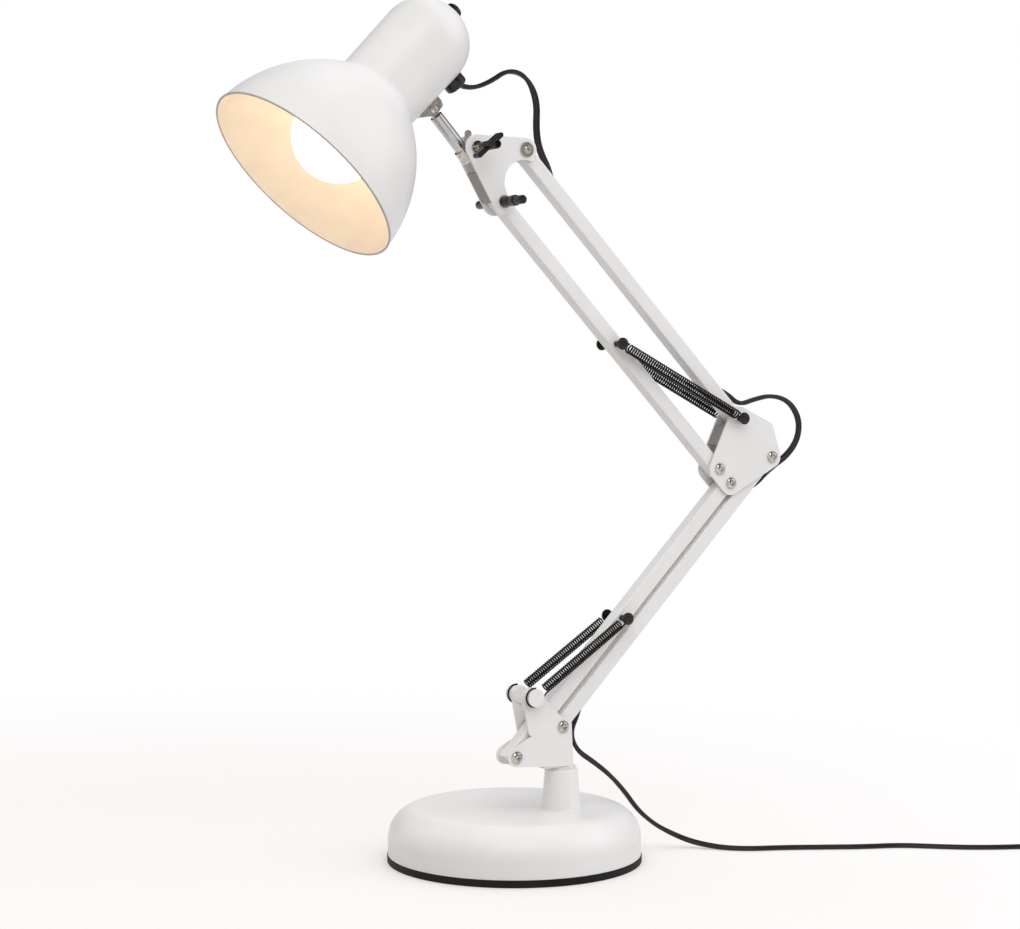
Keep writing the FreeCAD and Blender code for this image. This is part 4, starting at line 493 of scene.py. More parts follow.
def add_spline(curve, points):
    """Adds a NURBS spline to a curve, from the first point to the last."""
    spline = curve.splines.new("NURBS")
    spline.points.add(len(points) - 1)
    for place, point in zip(spline.points, points):
        place.co = (*point, 1.0)
    spline.order_u = NURBS_ORDER
    spline.use_endpoint_u = True


def mesh_of(holder):
    """The mesh that an object shows with its modifiers; the object itself is removed."""
    bpy.context.view_layer.update()
    shown = holder.evaluated_get(bpy.context.evaluated_depsgraph_get())
    mesh = bpy.data.meshes.new_from_object(shown)
    bpy.data.objects.remove(holder)
    return mesh


def smooth_line(name, points, steps):
    """The points of the smooth line that these corners give."""
    curve = bpy.data.curves.new(name, "CURVE")
    curve.dimensions = "3D"
    curve.resolution_u = steps
    add_spline(curve, points)
    mesh = mesh_of(put(name, curve))
    smooth = [vertex.co.copy() for vertex in mesh.vertices]
    bpy.data.meshes.remove(mesh)
    return smooth


line = smooth_line("flex_route", route, LINE_STEPS)
line_far = [0.0]
for one, two in zip(line, line[1:]):
    line_far.append(line_far[-1] + (two - one).length)
print(f"the flex is {line_far[-1]:.3f} m long, from {len(line)} points")

# %% [markdown]
# The flex is two round cores side by side, so its section is a figure of eight. It twists as it
# goes: thin side to the viewer over the head's arch, broad side down its right leg, and flat on
# the table.

# %% The flex's section and twist
CORE_RADIUS = FLEX_THICK / 2
CORE_OUT = (FLEX_WIDE - FLEX_THICK) / 2
CORE_POINTS = 11
# Where along the flex, in millimetres, its broad side has turned this far from facing up and down.
TWIST = [
    (0, 0.0), (60, 0.0), (88, 80.0), (122, 85.0), (150, 0.0), (385, 0.0), (420, 75.0), (455, 75.0),
    (490, 0.0), (660, 0.0), (700, 25.0), (735, 25.0), (775, 12.0), (820, 12.0), (880, 0.0),
]
waist = math.acos(-CORE_OUT / CORE_RADIUS)


def flex_section():
    """Points round the figure of eight, as (across, over) in millimetres."""
    turns = [waist * (2 * step / (CORE_POINTS - 1) - 1) for step in range(CORE_POINTS)]
    near = [
        (CORE_OUT + CORE_RADIUS * math.cos(turn), CORE_RADIUS * math.sin(turn)) for turn in turns
    ]
    far = [(-across, -over) for across, over in near]
    return near[:-1] + far[:-1]


def smooth_share(value, one, two):
    """How far a value is from one to two, from 0 to 1 with a soft start and end."""
    share = min(1.0, max(0.0, (value - one) / (two - one)))
    return share * share * (3 - 2 * share)


def twist_at(far_mm):
    """The flex's turn about its own line, this far along it."""
    for (start, low), (stop, high) in zip(TWIST, TWIST[1:]):
        if start <= far_mm <= stop:
            return math.radians(low + (high - low) * smooth_share(far_mm, start, stop))
    return 0.0


section = flex_section()
print(len(section), "points round the flex")

# %% [markdown]
# The section is set square on every point of the line. On the arms its width lies across the arms'
# plane, apart from the twist, and near the table it turns until it lies flat.

# %% Sections along the line
FLATTEN_FROM, FLATTEN_TO = 0.030, 0.006
rings = []
for index, spot in enumerate(line):
    heading = (line[min(index + 1, len(line) - 1)] - line[max(index - 1, 0)]).normalized()
    across = Y_AXIS - heading * heading.y
    if spot.z < FLATTEN_FROM:
        level = Z_AXIS.cross(heading).normalized()
        across = across.normalized().lerp(level, smooth_share(spot.z, FLATTEN_FROM, FLATTEN_TO))
    across.normalize()
    over = heading.cross(across)
    turn = twist_at(line_far[index] / MM)
    wide = across * math.cos(turn) + over * math.sin(turn)
    thin = over * math.cos(turn) - across * math.sin(turn)
    rings.append([spot + (wide * x + thin * y) * MM for x, y in section])
print(len(rings), "sections along the flex")

# %% [markdown]
# A mesh made from lists of points and faces has loose seams and no sure inside. So every such
# piece is closed in the same way: doubles merged, faces turned outwards, and smooth shading that
# stops at real edges.

# %% Closed shells
DOUBLES = 1e-6
SHARP_TURN = math.radians(35.0)


def closed_shell(name, vertices, faces, materials, finishes=None):
    """A closed piece. Finishes gives each face's place in the materials, if there is a choice."""
    mesh = bpy.data.meshes.new(name)
    mesh.from_pydata([tuple(vertex) for vertex in vertices], [], faces)
    mesh.validate()
    if finishes:
        mesh.polygons.foreach_set("material_index", finishes)
    work = bmesh.new()
    work.from_mesh(mesh)
    bmesh.ops.remove_doubles(work, verts=work.verts, dist=DOUBLES)
    bmesh.ops.recalc_face_normals(work, faces=work.faces)
    work.to_mesh(mesh)
    work.free()
    mesh.polygons.foreach_set("use_smooth", [True] * len(mesh.polygons))
    mesh.set_sharp_from_angle(angle=SHARP_TURN)
    for material in materials:
        mesh.materials.append(material)
    return put(name, mesh)


def tube(name, ring_list, material):
    """A tube through the rings, closed at both ends."""
    count = len(ring_list[0])
    vertices = [vertex for ring in ring_list for vertex in ring]
    faces = []
    for row in range(0, len(vertices) - count, count):
        for place in range(count):
            beside = (place + 1) % count
            faces.append((row + place, row + beside, row + count + beside, row + count + place))
    faces.append(tuple(range(count)))
    faces.append(tuple(range(len(vertices) - count, len(vertices))))
    return closed_shell(name, vertices, faces, [material])


print(f"edges stay sharp from {math.degrees(SHARP_TURN):.0f} degrees on")

# %% [markdown]
# A lead that crosses a joint bends when the lamp moves. The line is cut where the solids' pieces
# meet, in the middle of a run.

# %% Where the flex is cut
def cut_after(point):
    """The line's place in the middle of the run that leaves this point of the route."""
    middle = (route[point] + route[point + 1]) / 2
    return min(range(len(line)), key=lambda index: (line[index] - middle).length)


# How many corners of each part of the route lie before its cut.
HEAD_CUTS, TUBE_CUT, ELBOW_CUT, POST_CUT, FLOOR_CUT = (2, 5), 3, 4, 2, 1
elbow_first = len(head_loop) + len(upper_run)
lower_first = elbow_first + len(elbow_loop)
post_first = lower_first + len(lower_run)
floor_first = post_first + len(post_loop)
cuts = [0, *map(cut_after, (
    *HEAD_CUTS, len(head_loop) + TUBE_CUT, elbow_first + ELBOW_CUT, lower_first + TUBE_CUT,
    post_first + POST_CUT, floor_first + FLOOR_CUT))]
print("cut at", ", ".join(f"{line_far[cut]:.3f}" for cut in cuts[1:]), "m")

# %% [markdown]
# Each stretch is made as a tube of its own in place of its solid, which is hidden. The table
# gives its name and solid, and also the bodies at its ends and two places on the line, unused here.

# %% Stretches of the flex over the joints
def stretch(name, start, stop, node_names):
    """One stretch of the flex, from one place on the line to another, as a tube in place of its
    solids.
    """
    piece = tube(name, rings[start : stop + 1], sheath)
    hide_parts(*node_names)
    return piece


STRETCHES = [
    ("flex_over_shade", "cord_shade_to_stem", "shade", "stem",
     shade_point(GLAND_UP, GLAND_MOUTH), line[cuts[1]]),
    ("flex_over_stem", "cord_stem_to_head", "stem", "head", line[cuts[1]], line[cuts[2]]),
    ("flex_into_upper_arm", "cord_head_to_upper_arm", "head", "upper_arm",
     line[cuts[2]], head_loop[-1]),
    ("flex_out_of_upper_arm", "cord_upper_arm_to_elbow", "upper_arm", "elbow",
     elbow_loop[0], line[cuts[4]]),
    ("flex_into_lower_arm", "cord_elbow_to_lower_arm", "elbow", "lower_arm",
     line[cuts[4]], elbow_loop[-1]),
    ("flex_out_of_lower_arm", "cord_lower_arm_to_swivel", "lower_arm", "swivel",
     post_loop[0], line[cuts[6]]),
    ("flex_behind_post", "cord_swivel_to_base", "swivel", "base", line[cuts[6]], line[cuts[7]]),
]
for number, (name, node, near_body, far_body, near, far) in enumerate(STRETCHES):
    piece = stretch(name, cuts[number], cuts[number + 1], [node])
    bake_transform(piece)

# %% [markdown]
# ## Turned and spun pieces
# The shade, the base and its foot, the post and the lamp are round. Each is spun from a profile of
# (radius, height) points, closed on itself, with fine steps on its curves so that the paint's
# highlights run clean.

# %% Arcs for a profile
QUARTER_BULGE = (math.sqrt(2) - 1) / 2


def arc(one, two, bulge, steps):
    """Points from one to two on an arc that stands right of the way by bulge of its chord."""
    one, two = Vector(one), Vector(two)
    run = two - one
    side = Vector((run.y, -run.x)).normalized()
    half = run.length / 2
    rise = abs(bulge) * run.length
    radius = (half * half + rise * rise) / (2 * rise)
    centre = (one + two) / 2 + side * (rise - radius) * math.copysign(1.0, bulge)
    first = math.atan2(one.y - centre.y, one.x - centre.x)
    sweep = 4 * math.atan2(rise, half) * math.copysign(1.0, bulge)
    return [
        (centre.x + radius * math.cos(first + sweep * step / steps),
         centre.y + radius * math.sin(first + sweep * step / steps))
        for step in range(steps + 1)
    ]


print(f"a quarter round stands out by {QUARTER_BULGE:.3f} of its chord")

# %% [markdown]
# Spinning needs the profile, a foot on the axis and the axis. A point on the axis itself gives one
# vertex, not a ring, so that a pole closes with plain triangles.

# %% A spun shell
SPIN_STEPS = 144
POLE = 1e-6


def spun(name, profile, foot, axis, materials, zones=()):
    """A closed profile spun round an axis; each zone's first place starts the next material."""
    axis = axis.normalized()
    side = axis.orthogonal().normalized()
    depth = axis.cross(side)
    vertices, rows = [], []
    for radius, high in profile:
        count = SPIN_STEPS if radius > POLE else 1
        rows.append([len(vertices) + step % count for step in range(SPIN_STEPS)])
        for step in range(count):
            turn = 2 * math.pi * step / SPIN_STEPS
            out = side * math.cos(turn) + depth * math.sin(turn)
            vertices.append(foot + (out * radius + axis * high) * MM)
    faces, finishes = [], []
    for place, low in enumerate(rows):
        top = rows[(place + 1) % len(rows)]
        for step in range(SPIN_STEPS):
            after = (step + 1) % SPIN_STEPS
            corners = list(dict.fromkeys((low[step], low[after], top[after], top[step])))
            if len(corners) > 2:
                faces.append(corners)
                finishes.append(sum(place >= zone for zone in zones))
    return closed_shell(name, vertices, faces, materials, finishes)


print(SPIN_STEPS, "steps round a shell")

# %% [markdown]
# Sheet metal needs two helpers more. One follows a profile at a fixed distance, for the inner face
# of a wall. The other eases a sharp corner of a profile, as a spinning tool can't leave one.

# %% Walls and soft corners
def offset_profile(points, inward):
    """The same profile moved to its left by inward, for a wall of even thickness."""
    moved = []
    for index, point in enumerate(points):
        before = Vector(points[max(index - 1, 0)])
        after = Vector(points[min(index + 1, len(points) - 1)])
        run = (after - before).normalized()
        moved.append((point[0] - run.y * inward, point[1] + run.x * inward))
    return moved


def eased(points, corner, reach, steps):
    """Rounds the profile's corner: cuts it back by reach on both sides and joins with a curve."""
    turn = Vector(points[corner])
    before = [p for p in points[:corner] if (Vector(p) - turn).length > reach]
    after = [p for p in points[corner + 1 :] if (Vector(p) - turn).length > reach]
    start = turn + (Vector(before[-1]) - turn).normalized() * reach
    stop = turn + (Vector(after[0]) - turn).normalized() * reach
    curve = []
    for step in range(steps + 1):
        share = step / steps
        point = start * (1 - share) ** 2 + turn * 2 * share * (1 - share) + stop * share**2
        curve.append((point.x, point.y))
    return before + curve + after


corner = eased([(0.0, 0.0), (10.0, 0.0), (10.0, 10.0)], 1, 2.0, 4)
print("a square corner eased by 2 mm has", len(corner), "points")

# %% [markdown]
# The shade is one spinning: a bell, a soft throat where it meets the neck, and a dome with the
# switch. Its rim is rolled outwards to stiffen it. The inner wall follows the outer at the sheet's
# thickness.

# %% The shade
NECK_RADIUS, NECK_TOP_RADIUS, NECK_LONG = 28.85, 29.85, 51.75
DOME_HIGH, DOME_FLAT, SWITCH_WAY = 27.75, 7.0, 6.3
BELL_DEEP, BELL_RADIUS = 72.0, 69.0
BELL_BULGE, DOME_BULGE, THROAT = 0.1117, 0.179, 3.2
SHEET = 1.0
RIM_IN, RIM_OUT, RIM_END, RIM_BULGE = 0.5, 0.4, 0.1, 0.5
BELL_STEPS, DOME_STEPS, THROAT_STEPS, RIM_STEPS = 40, 30, 8, 10
bell = arc((BELL_RADIUS, -BELL_DEEP), (NECK_RADIUS, 0.0), BELL_BULGE, BELL_STEPS)
dome_top = NECK_LONG + DOME_HIGH
dome = arc((NECK_TOP_RADIUS, NECK_LONG), (DOME_FLAT, dome_top), DOME_BULGE, DOME_STEPS)
outside = eased(bell + dome, len(bell) - 1, THROAT, THROAT_STEPS)
outside.append((SWITCH_WAY, dome_top))
walls = offset_profile(outside, SHEET)[::-1]
# The rolled rim takes the third material, the grey painted shade.
rim = arc((walls[-1][0], -BELL_DEEP - RIM_IN), (BELL_RADIUS + RIM_OUT, -BELL_DEEP - RIM_END),
          RIM_BULGE, RIM_STEPS)
shade = spun("shade_shell", outside + walls + rim, crease, up_axis,
             [white, inside_white, rim_painted_shade], (len(outside), len(outside) + len(walls)))
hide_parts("shade")
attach(shade, "shade")
print("the shade is", round(2 * BELL_RADIUS), "mm across its mouth")

# %% [markdown]
# The base's cover is pressed from thin sheet, with a flat top and a big round shoulder. It stands
# in a low rubber foot, which looks out below it as a black line with rounded edges.

# %% The base and its foot
BASE_RADIUS, BASE_HIGH, SHOULDER, FOOT_HIGH, BASE_WALL = 85.0, 36.0, 20.0, 5.0, 1.2
SHOULDER_STEPS, FOOT_STEPS = 24, 5
FOOT_OUT, FOOT_INSET, FOOT_FLOOR = 0.5, 0.6, 1.5
FOOT_SOLE, FOOT_LOW, FOOT_TOP, FOOT_TOP_IN = 0.1, 0.7, 0.9, 0.2
shoulder = arc((BASE_RADIUS, BASE_HIGH - SHOULDER), (BASE_RADIUS - SHOULDER, BASE_HIGH),
               QUARTER_BULGE, SHOULDER_STEPS)
shell = [(BASE_RADIUS, FOOT_HIGH), *shoulder, (0.0, BASE_HIGH)]
shell_inside = [(0.0, BASE_HIGH - BASE_WALL)] + offset_profile(shell[:-1], BASE_WALL)[::-1]
cover = spun("base_shell", shell + shell_inside, Vector(), Z_AXIS, [white])
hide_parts("base_cover")
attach(cover, "base")
foot_edge = BASE_RADIUS + FOOT_OUT
foot_inside = BASE_RADIUS - BASE_WALL
foot_profile = [
    (0.0, 0.0), (BASE_RADIUS - FOOT_INSET, 0.0),
    *arc((BASE_RADIUS, FOOT_SOLE), (foot_edge, FOOT_LOW), QUARTER_BULGE, FOOT_STEPS),
    *arc((foot_edge, FOOT_HIGH - FOOT_TOP), (BASE_RADIUS - FOOT_TOP_IN, FOOT_HIGH),
         QUARTER_BULGE, FOOT_STEPS),
    (foot_inside, FOOT_HIGH), (foot_inside, FOOT_FLOOR), (0.0, FOOT_FLOOR),
]
foot = spun("foot_ring", foot_profile, Vector(), Z_AXIS, [rubber])
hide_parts("base_foot")
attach(foot, "base")
print("the base is", round(2 * BASE_RADIUS), "mm across and", round(BASE_HIGH), "mm high")

# %% [markdown]
# The post is a moulded cone with a rounded lip, standing on the base with a small fillet at its
# foot.

# %% The post
POST_FOOT, POST_TOP, POST_LOW, POST_HIGH = 13.0, 11.0, 36.0, 63.0
POST_BORE, POST_THREAD, THREAD_LONG = 6.5, 9.0, 13.0
FILLET_OUT, FILLET_IN, FILLET_LOW, FILLET_HIGH = 0.9, 0.05, 0.02, 1.0
LIP_OUT, LIP_IN, LIP_HIGH = 0.08, 0.9, 1.0
SOFT_BULGE, SOFT_STEPS = 0.2, 6
thread_end = POST_LOW - THREAD_LONG
post_profile = [
    (POST_BORE, thread_end), (POST_THREAD, thread_end), (POST_THREAD, POST_LOW),
    *arc((POST_FOOT + FILLET_OUT, POST_LOW + FILLET_LOW),
         (POST_FOOT - FILLET_IN, POST_LOW + FILLET_HIGH), -SOFT_BULGE, SOFT_STEPS),
    *arc((POST_TOP + LIP_OUT, POST_HIGH - LIP_HIGH), (POST_TOP - LIP_IN, POST_HIGH),
         SOFT_BULGE, SOFT_STEPS),
    (POST_BORE, POST_HIGH),
]
post = spun("post_cone", post_profile, POST, Z_AXIS, [white])
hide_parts("post_socket")
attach(post, "base")
print("the post stands", round(POST_HIGH - POST_LOW), "mm out of the base")

# %% [markdown]
# The lamp is a round bulb of opal glass, 60 mm across, on a screw cap. Its neck flows out of the
# globe.

# %% The lamp
GLOBE_RADIUS, GLOBE_MIDDLE = 30.0, -36.0
GLOBE_FROM, GLOBE_END, GLOBE_STEPS = math.radians(-90), math.radians(38.0), 36
NECK_GLASS, NECK_AT, GLASS_TO, GLASS = 12.2, 15.0, 26.0, 0.8
NECK_BULGE, NECK_STEPS = -0.10, 10
globe_low = GLOBE_MIDDLE - GLOBE_RADIUS
globe = []
for step in range(1, GLOBE_STEPS + 1):
    turn = GLOBE_FROM + (GLOBE_END - GLOBE_FROM) * step / GLOBE_STEPS
    globe.append((GLOBE_RADIUS * math.cos(turn), GLOBE_MIDDLE + GLOBE_RADIUS * math.sin(turn)))
globe_end = (GLOBE_RADIUS * math.cos(GLOBE_END), GLOBE_MIDDLE + GLOBE_RADIUS * math.sin(GLOBE_END))
bulb_neck = arc(globe_end, (NECK_GLASS, NECK_AT), NECK_BULGE, NECK_STEPS)[1:]
glass_out = [(0.0, globe_low), *globe, *bulb_neck, (NECK_GLASS, GLASS_TO)]
glass_in = offset_profile(glass_out, GLASS)[:0:-1] + [(0.0, globe_low + GLASS)]
bulb = spun("opal_bulb", glass_out + glass_in, crease, up_axis, [opal])
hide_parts("bulb_glass")
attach(bulb, "shade")
print("the bulb is", round(2 * GLOBE_RADIUS), "mm across")

# %% [markdown]
# ## Springs
# Each arm hangs on two extension springs. A spring is a coil of wire that repeats turn after turn,
# so Geometry Nodes wind it from named sizes: a spiral is set between two points, joined with its
# hooks and given the wire's round section. The hook is a ring round its pin, in one line with the
# coil.

# %% A spring's node tree
WIRE_SIDES = 8
TURN_POINTS = 22
GIVEN = {"Geometry": "Geometry", "Start": "Vector", "End": "Vector", "Side": "Vector",
         "Coil Radius": "Float", "Wire Radius": "Float", "Turns": "Float", "Wire": "Material"}


def spring_tree():
    """The tree that winds one spring and gives it its wire."""
    tree = bpy.data.node_groups.new("extension_spring", "GeometryNodeTree")
    for name, kind in GIVEN.items():
        tree.interface.new_socket(name, in_out="INPUT", socket_type="NodeSocket" + kind)
    tree.interface.new_socket("Geometry", in_out="OUTPUT", socket_type="NodeSocketGeometry")
    given = add(tree, "NodeGroupInput").outputs
    run = add(tree, "ShaderNodeVectorMath", {"operation": "SUBTRACT"}, [
        (0, given["End"]), (1, given["Start"])]).outputs["Vector"]
    long = add(tree, "ShaderNodeVectorMath", {"operation": "LENGTH"}, [(0, run)])
    spiral = add(tree, "GeometryNodeCurveSpiral", (), [
        ("Resolution", TURN_POINTS), ("Rotations", given["Turns"]),
        ("Start Radius", given["Coil Radius"]), ("End Radius", given["Coil Radius"]),
        ("Height", long.outputs["Value"])])
    stand = add(tree, "FunctionNodeAlignRotationToVector", {"axis": "Z"}, [("Vector", run)])
    face = add(tree, "FunctionNodeAlignRotationToVector", {"axis": "X", "pivot_axis": "Z"}, [
        ("Rotation", stand.outputs["Rotation"]), ("Vector", given["Side"])])
    placed = add(tree, "GeometryNodeTransform", (), [
        ("Geometry", spiral.outputs["Curve"]), ("Translation", given["Start"]),
        ("Rotation", face.outputs["Rotation"])])
    joined = add(tree, "GeometryNodeJoinGeometry")
    tree.links.new(placed.outputs["Geometry"], joined.inputs["Geometry"])
    tree.links.new(given["Geometry"], joined.inputs["Geometry"])
    ring = add(tree, "GeometryNodeCurvePrimitiveCircle", (), [
        ("Resolution", WIRE_SIDES), ("Radius", given["Wire Radius"])])
    wire = add(tree, "GeometryNodeCurveToMesh", (), [
        ("Curve", joined.outputs["Geometry"]), ("Profile Curve", ring.outputs["Curve"]),
        ("Fill Caps", True)])
    smooth = add(tree, "GeometryNodeSetShadeSmooth", (), [("Geometry", wire.outputs["Mesh"])])
    real = add(tree, "GeometryNodeRealizeInstances", (), [
        ("Geometry", smooth.outputs["Geometry"])])
    coated = add(tree, "GeometryNodeSetMaterial", (), [
        ("Geometry", real.outputs["Geometry"]), ("Material", given["Wire"])])
    add(tree, "NodeGroupOutput", (), [("Geometry", coated.outputs["Geometry"])])
    return tree


winding = spring_tree()
sockets = {
    item.name: item.identifier for item in winding.interface.items_tree if item.in_out == "INPUT"
}
print("the spring's tree takes", ", ".join(sockets))

# %% [markdown]
# A hook is a curve of its own, from its open end round the pin to the coil's first turn. The tree
# is put on the two hooks and adds the coil between them. Its result becomes a plain mesh.

# %% One spring
SPRING_OUTER, WIRE_RADIUS, HOOK_GAP, SPRING_NECK = 3.5, 0.57, 0.22, 3.4
HOOK_FROM, HOOK_TO, HOOK_STEP = 315, 45, 15
HOOK_STEPS = 4
coil_radius = SPRING_OUTER - WIRE_RADIUS


def hook_points(centre, radius, along, aside, coil_start):
    """From the open end of a hook round its pin and on to the coil's first turn."""
    turns = [math.radians(turn) for turn in range(HOOK_FROM, HOOK_TO - 1, -HOOK_STEP)]
    ring = [
        centre + (along * math.cos(turn) + aside * math.sin(turn)) * radius * MM for turn in turns
    ]
    return [*ring, coil_start]


def spring(name, node, foot, foot_radius, tip, tip_radius, turns):
    """A spring from foot to tip, hooked round a pin or boss at each end."""
    axis = (tip - foot).normalized()
    aside = Y_AXIS.cross(axis).normalized()
    foot_hook = foot_radius + HOOK_GAP + WIRE_RADIUS
    tip_hook = tip_radius + HOOK_GAP + WIRE_RADIUS
    start = foot + axis * (foot_hook + SPRING_NECK) * MM
    end = tip - axis * (tip_hook + SPRING_NECK) * MM
    curve = bpy.data.curves.new(name, "CURVE")
    curve.dimensions = "3D"
    curve.resolution_u = HOOK_STEPS
    for centre, radius, along, near in (
            (foot, foot_hook, axis, start), (tip, tip_hook, -axis, end)):
        coil_start = near + aside * coil_radius * MM
        add_spline(curve, hook_points(centre, radius, along, aside, coil_start))
    holder = put(name + "_wire", curve)
    wound = holder.modifiers.new("winding", "NODES")
    wound.node_group = winding
    values = {"Start": start, "End": end, "Side": aside, "Coil Radius": coil_radius * MM,
              "Wire Radius": WIRE_RADIUS * MM, "Turns": float(turns), "Wire": blackened}
    for word, value in values.items():
        wound[sockets[word]] = value
    piece = put(name, mesh_of(holder))
    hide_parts(node)
    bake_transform(piece)
    print(f"{name}: {len(piece.data.polygons)} faces")


# %% [markdown]
# The lower springs run from the turned bosses on the bracket's horns to a pin on the lower arm,
# the upper ones from the elbow's pin to a pin on the upper arm. One of each pair is in front of
# the arm, the other behind it.

# %% Wind the four springs
BOSS_RADIUS, PIN_RADIUS = 5.4, 2.0
BOSS_PLACE = (-28.3, 113.5)
BOSS_AT, PIN_AT = 11.7, 10.85
LOW_PIN_SHARE, LOW_PIN_OUT = 0.489, -1.1
UP_PIN_SHARE, UP_PIN_OUT = 0.485, -0.5
LOW_TURNS, UP_TURNS = 41, 52
low_pin = beside_bar(pivot_b, LOW_ARM, LOW_PIN_SHARE * LOW_ARM.length, LOW_PIN_OUT)
up_pin = beside_bar(pivot_e, UP_ARM, UP_PIN_SHARE * UP_ARM.length, UP_PIN_OUT)
for side, word in ((-1, "front"), (1, "rear")):
    away = Y_AXIS * side * MM
    spring(f"lower_coil_{word}", f"lower_spring_{word}",
           arm_point(*BOSS_PLACE, side * BOSS_AT), BOSS_RADIUS,
           low_pin + away * PIN_AT, PIN_RADIUS, LOW_TURNS)
    spring(f"upper_coil_{word}", f"upper_spring_{word}",
           pivot_f + away * PIN_AT, PIN_RADIUS,
           up_pin + away * PIN_AT, PIN_RADIUS, UP_TURNS)

# %% [markdown]
# ## Pressed, sawn and moulded pieces
# The brackets, tubes, screws, caps and knobs have the right shape already, but their edges are
# knife sharp and the real ones are rolled, deburred or moulded. A copy of each solid has its
# triangles merged back into whole faces, and a Bevel modifier eases every edge, which gives the
# thin highlights that tell the eye how thick the steel is.

# %% Ease the edges of a solid
MERGE = 2e-6
FLAT_TURN = math.radians(1.0)
EDGE_TURN = math.radians(38.0)
EASE_STEPS = 2
# A bracket's faces this near the arms' middle plane, in millimetres, are its web and get painted
# shade.
SHADED_WEBS = {"elbow_bracket": 5.0, "head_bracket": 5.0}


def dressed(node, material, ease_mm):
    """A copy of a solid with eased edges, which stands for it on the same body. On a bracket in
    the table of webs, the faces of the web take a grey painted shade."""
    solid = frame["nodes"][node]
    mesh = solid.data.copy()
    mesh.materials.clear()
    work = bmesh.new()
    work.from_mesh(mesh)
    bmesh.ops.remove_doubles(work, verts=work.verts, dist=MERGE)
    # Faces of a web take the second material, the grey painted shade.
    for face in work.faces:
        aside = abs(face.calc_center_median().y - POST.y)
        face.material_index = int(aside < SHADED_WEBS.get(node, 0.0) * MM)
    bmesh.ops.dissolve_limit(work, angle_limit=FLAT_TURN, verts=work.verts, edges=work.edges,
                             delimit={"MATERIAL"})
    work.to_mesh(mesh)
    work.free()
    mesh.polygons.foreach_set("use_smooth", [True] * len(mesh.polygons))
    mesh.set_sharp_from_angle(angle=EDGE_TURN)
    mesh.materials.append(material)
    if node in SHADED_WEBS:
        mesh.materials.append(web_painted_shade)
    piece = put(node + "_dressed", mesh)
    ease = piece.modifiers.new("eased_edges", "BEVEL")
    ease.width = ease_mm * MM
    ease.segments = EASE_STEPS
    ease.limit_method = "ANGLE"
    ease.angle_limit = EDGE_TURN
    ease.harden_normals = True
    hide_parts(node)
    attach(piece, solid["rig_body"])


print(f"edges over {math.degrees(EDGE_TURN):.0f} degrees are eased in {EASE_STEPS} steps")

# %% [markdown]
# The width of an eased edge depends on how the piece was made. A sawn tube is only deburred, a
# folded bracket rolls over a little at its cut edge, and a moulding has a full round.

# %% Dress the solids
# Material, slot, and the nodes with the width of their eased edges in millimetres.
DRESSED = [
    (white, "white_enamel", {
        "lower_bracket": 0.35, "elbow_bracket": 0.35, "head_bracket": 0.35,
        "lower_right_bar": 0.15, "lower_left_bar": 0.15, "upper_right_bar": 0.15,
        "upper_left_bar": 0.15, "spring_bosses": 0.45}),
    (plated, "zinc_steel", {
        "lower_pivot_bolts": 0.18, "elbow_pivot_bolts": 0.18, "head_pivot_bolt": 0.15,
        "head_washers": 0.2, "wing_bolt": 0.25}),
    (chromed, "chrome", {"stem": 0.25}),
    (plated, "zinc_steel", {"clamp_strap": 0.25, "knuckle": 0.3, "knuckle_screw": 0.18}),
    (moulded, "black_plastic", {
        "wing_knob": 0.5, "grip_rod": 0.5, "lower_spring_pin": 0.4, "upper_spring_pin": 0.4,
        "elbow_pin": 0.4}),
    (sheath, "black_rubber", {"cord_gland": 0.4}),
    (moulded, "black_plastic", {"switch_body": 0.3, "switch_button": 0.5}),
    (nylon, "nylon", {"swivel_washer": 0.15, "swivel_bush": 0.15}),
    (moulded, "black_plastic", {"plug_body": 1.2}),
    (brass, "brass", {"plug_pins": 0.2}),
]
for material, slot, nodes in DRESSED:
    for node, ease_mm in nodes.items():
        dressed(node, material, ease_mm)
print(sum(len(nodes) for material, slot, nodes in DRESSED), "solids dressed")

# %% [markdown]
# What is hidden inside keeps its solid as it is and takes its finish.

# %% Finish of the hidden solids
PLAIN = {
    "base_plate": plated, "base_weight": iron, "base_screws": plated, "post_ring_nut": plated,
    "swivel_spindle": plated, "lower_right_bar_bushes": nylon, "lower_left_bar_bushes": nylon,
    "upper_right_bar_bushes": nylon, "upper_left_bar_bushes": nylon, "lamp_holder": holder_white,
    "holder_carrier": plated, "bulb_cap": cap_metal,
}
for node, material in PLAIN.items():
    for place in frame["nodes"][node].material_slots:
        place.material = material
print(len(PLAIN), "solids keep their own shape")

# %% [markdown]
# The last stretch of the flex lies on the table and crosses no joint, so it rides the base. It
# ends in the plug, which is dressed with the other solids above.

# %% The last stretch of the flex
rest = stretch("flex_on_table", cuts[7], len(line) - 1, ["cord_on_floor", "cord_coil"])
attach(rest, "base")
print("the plug lies", round(tail_end.x), "mm to the right of the base's middle")

# %% [markdown]
# ## Table and light
# The photograph has a white sweep and very soft light. One flat disc of paper is enough for it, as
# its far edge can't be told from the white background.

# %% Floor
FLOOR_RADIUS, FLOOR_STEP = 9.0, 5
floor_mesh = bpy.data.meshes.new("table_top")
floor_turns = [math.radians(turn) for turn in range(0, 360, FLOOR_STEP)]
floor_mesh.from_pydata(
    [(FLOOR_RADIUS * math.cos(turn), FLOOR_RADIUS * math.sin(turn), 0.0) for turn in floor_turns],
    [], [tuple(range(len(floor_turns)))])
put("table_top", floor_mesh)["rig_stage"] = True
print("the floor is", 2 * FLOOR_RADIUS, "m across")

# %% [markdown]
# The paper is a pale matt grey for the light that falls on the lamp. The camera, a reflection and
# what shines through glass see it lifted a little, and plain white from some way off.

